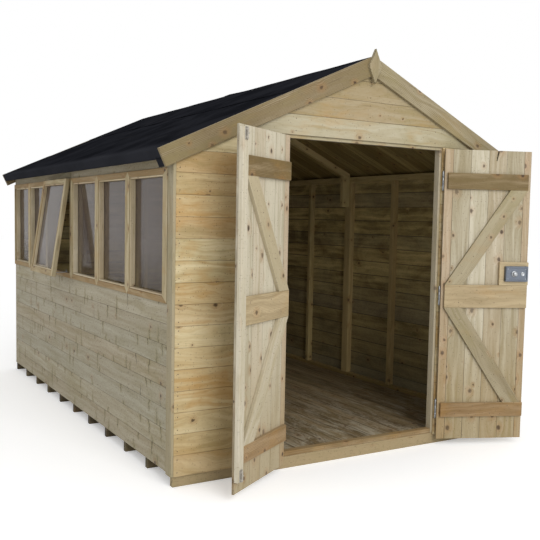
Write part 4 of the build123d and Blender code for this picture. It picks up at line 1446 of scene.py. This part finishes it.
class SHED_OT_stage(bpy.types.Operator):
    """Floor, soft light and the camera"""

    bl_idname = "shed.stage"
    bl_label = "Stage"

    def execute(self, context):
        context.scene.view_settings.view_transform = "Standard"
        self.ground(context.scene)
        self.sky(context.scene)
        self.lamp(context.scene, place=(-1.2, -10.5, 5.0), aim=(0.0, -1.0, 1.0), size=5.0, power=520.0)
        self.camera(context.scene)
        return {"FINISHED"}

    def ground(self, scene):
        """A wide pale floor."""
        s = Shader(bpy.data.materials.new("studio floor"))
        fine = s.noise(s.place(), 6.0, 4.0, 0.6)
        s.set(Base_Color=s.mix(fine, (0.90, 0.90, 0.90), (0.93, 0.93, 0.93)), Roughness=0.9)
        glow = s.mix(s.seen("Camera", "Glossy"), (0.0, 0.0, 0.0), (0.3, 0.3, 0.3))
        s.set(Emission_Color=glow, Emission_Strength=1.0)
        mesh = bpy.data.meshes.new("studio_floor")
        far = 40.0
        mesh.from_pydata([(-far, -far, 0), (far, -far, 0), (far, far, 0), (-far, far, 0)], [], [(0, 1, 2, 3)])
        mesh.materials.append(s.owner)
        floor = bpy.data.objects.new("studio_floor", mesh)
        scene.collection.objects.link(floor)

    def sky(self, scene):
        """White where the camera, gloss or glass sees it, and an even soft light elsewhere."""
        s = Shader(bpy.data.worlds.new("studio"), "Background")
        share = {"Value": s.seen("Camera", "Glossy", "Transmission"), "To Min": 0.74, "To Max": 1.0}
        scene.world = s.set(Color=(1.0, 1.0, 1.0), Strength=s.node("ShaderNodeMapRange", None, share))

    def lamp(self, scene, place, aim, size, power):
        """A large square lamp at a place, turned to its aim."""
        light = bpy.data.lights.new("key", "AREA")
        light.size, light.energy = size, power
        holder = bpy.data.objects.new("key", light)
        aimed = axis(np.subtract(aim, place))
        aside = axis(np.cross(aimed, Z))
        basis = np.array((aside, np.cross(aside, aimed), -aimed)).T
        holder.matrix_world = Matrix.Translation(place) @ Matrix(basis.tolist()).to_4x4()
        scene.collection.objects.link(holder)

    def camera(self, scene):
        """The photograph's camera: its place, its turn about Z, X and Y, and its lens."""
        camera = bpy.data.cameras.new("camera")
        camera.sensor_width, camera.lens, camera.clip_end = 36.0, 52.346, 100.0
        camera.shift_x, camera.shift_y = -0.0441, 0.0143
        holder = bpy.data.objects.new("camera", camera)
        turned = Matrix.Translation((-2.77206, -5.48737, 1.39942))
        for angle, about in ((-0.55316, "Z"), (-0.07416, "X"), (-0.02143, "Y"), (pi / 2, "X")):
            turned = turned @ Matrix.Rotation(angle, 4, about)
        holder.matrix_world = turned
        scene.collection.objects.link(holder)
        scene.camera = holder


class SHED_PT_panel(bpy.types.Panel):
    """Lists the shed's sizes, colours and pieces"""

    bl_label = "Timber garden shed"
    bl_idname = "SHED_PT_panel"
    bl_space_type = "VIEW_3D"
    bl_region_type = "UI"
    bl_category = "Shed"

    def draw(self, context):
        layout = self.layout
        for group in (context.scene.shed_sizes, context.scene.shed_colours):
            box = layout.box()
            for name in group.__annotations__:
                box.prop(group, name)
        for piece in PIECES:
            layout.operator(piece.bl_idname)


PIECES = (
    SHED_OT_floor,
    SHED_OT_framing,
    SHED_OT_cladding,
    SHED_OT_roof,
    SHED_OT_felt,
    SHED_OT_trim,
    SHED_OT_windows,
    SHED_OT_left_door,
    SHED_OT_right_door,
    SHED_OT_hinges,
    SHED_OT_bolts,
    SHED_OT_lock,
    SHED_OT_stage,
)
CLASSES = (ShedSizes, ShedColours, *PIECES, SHED_PT_panel)


def register():
    """Adds the classes and the scene's properties."""
    for each in CLASSES:
        bpy.utils.register_class(each)
    bpy.types.Scene.shed_sizes = PointerProperty(type=ShedSizes)
    bpy.types.Scene.shed_colours = PointerProperty(type=ShedColours)


def unregister():
    """Removes the scene's properties and the classes."""
    del bpy.types.Scene.shed_colours
    del bpy.types.Scene.shed_sizes
    for each in reversed(CLASSES):
        bpy.utils.unregister_class(each)


def main():
    """Makes every piece in order."""
    register()
    for piece in PIECES:
        group, name = piece.bl_idname.split(".")
        getattr(getattr(bpy.ops, group), name)()


if __name__ == "__main__":
    main()
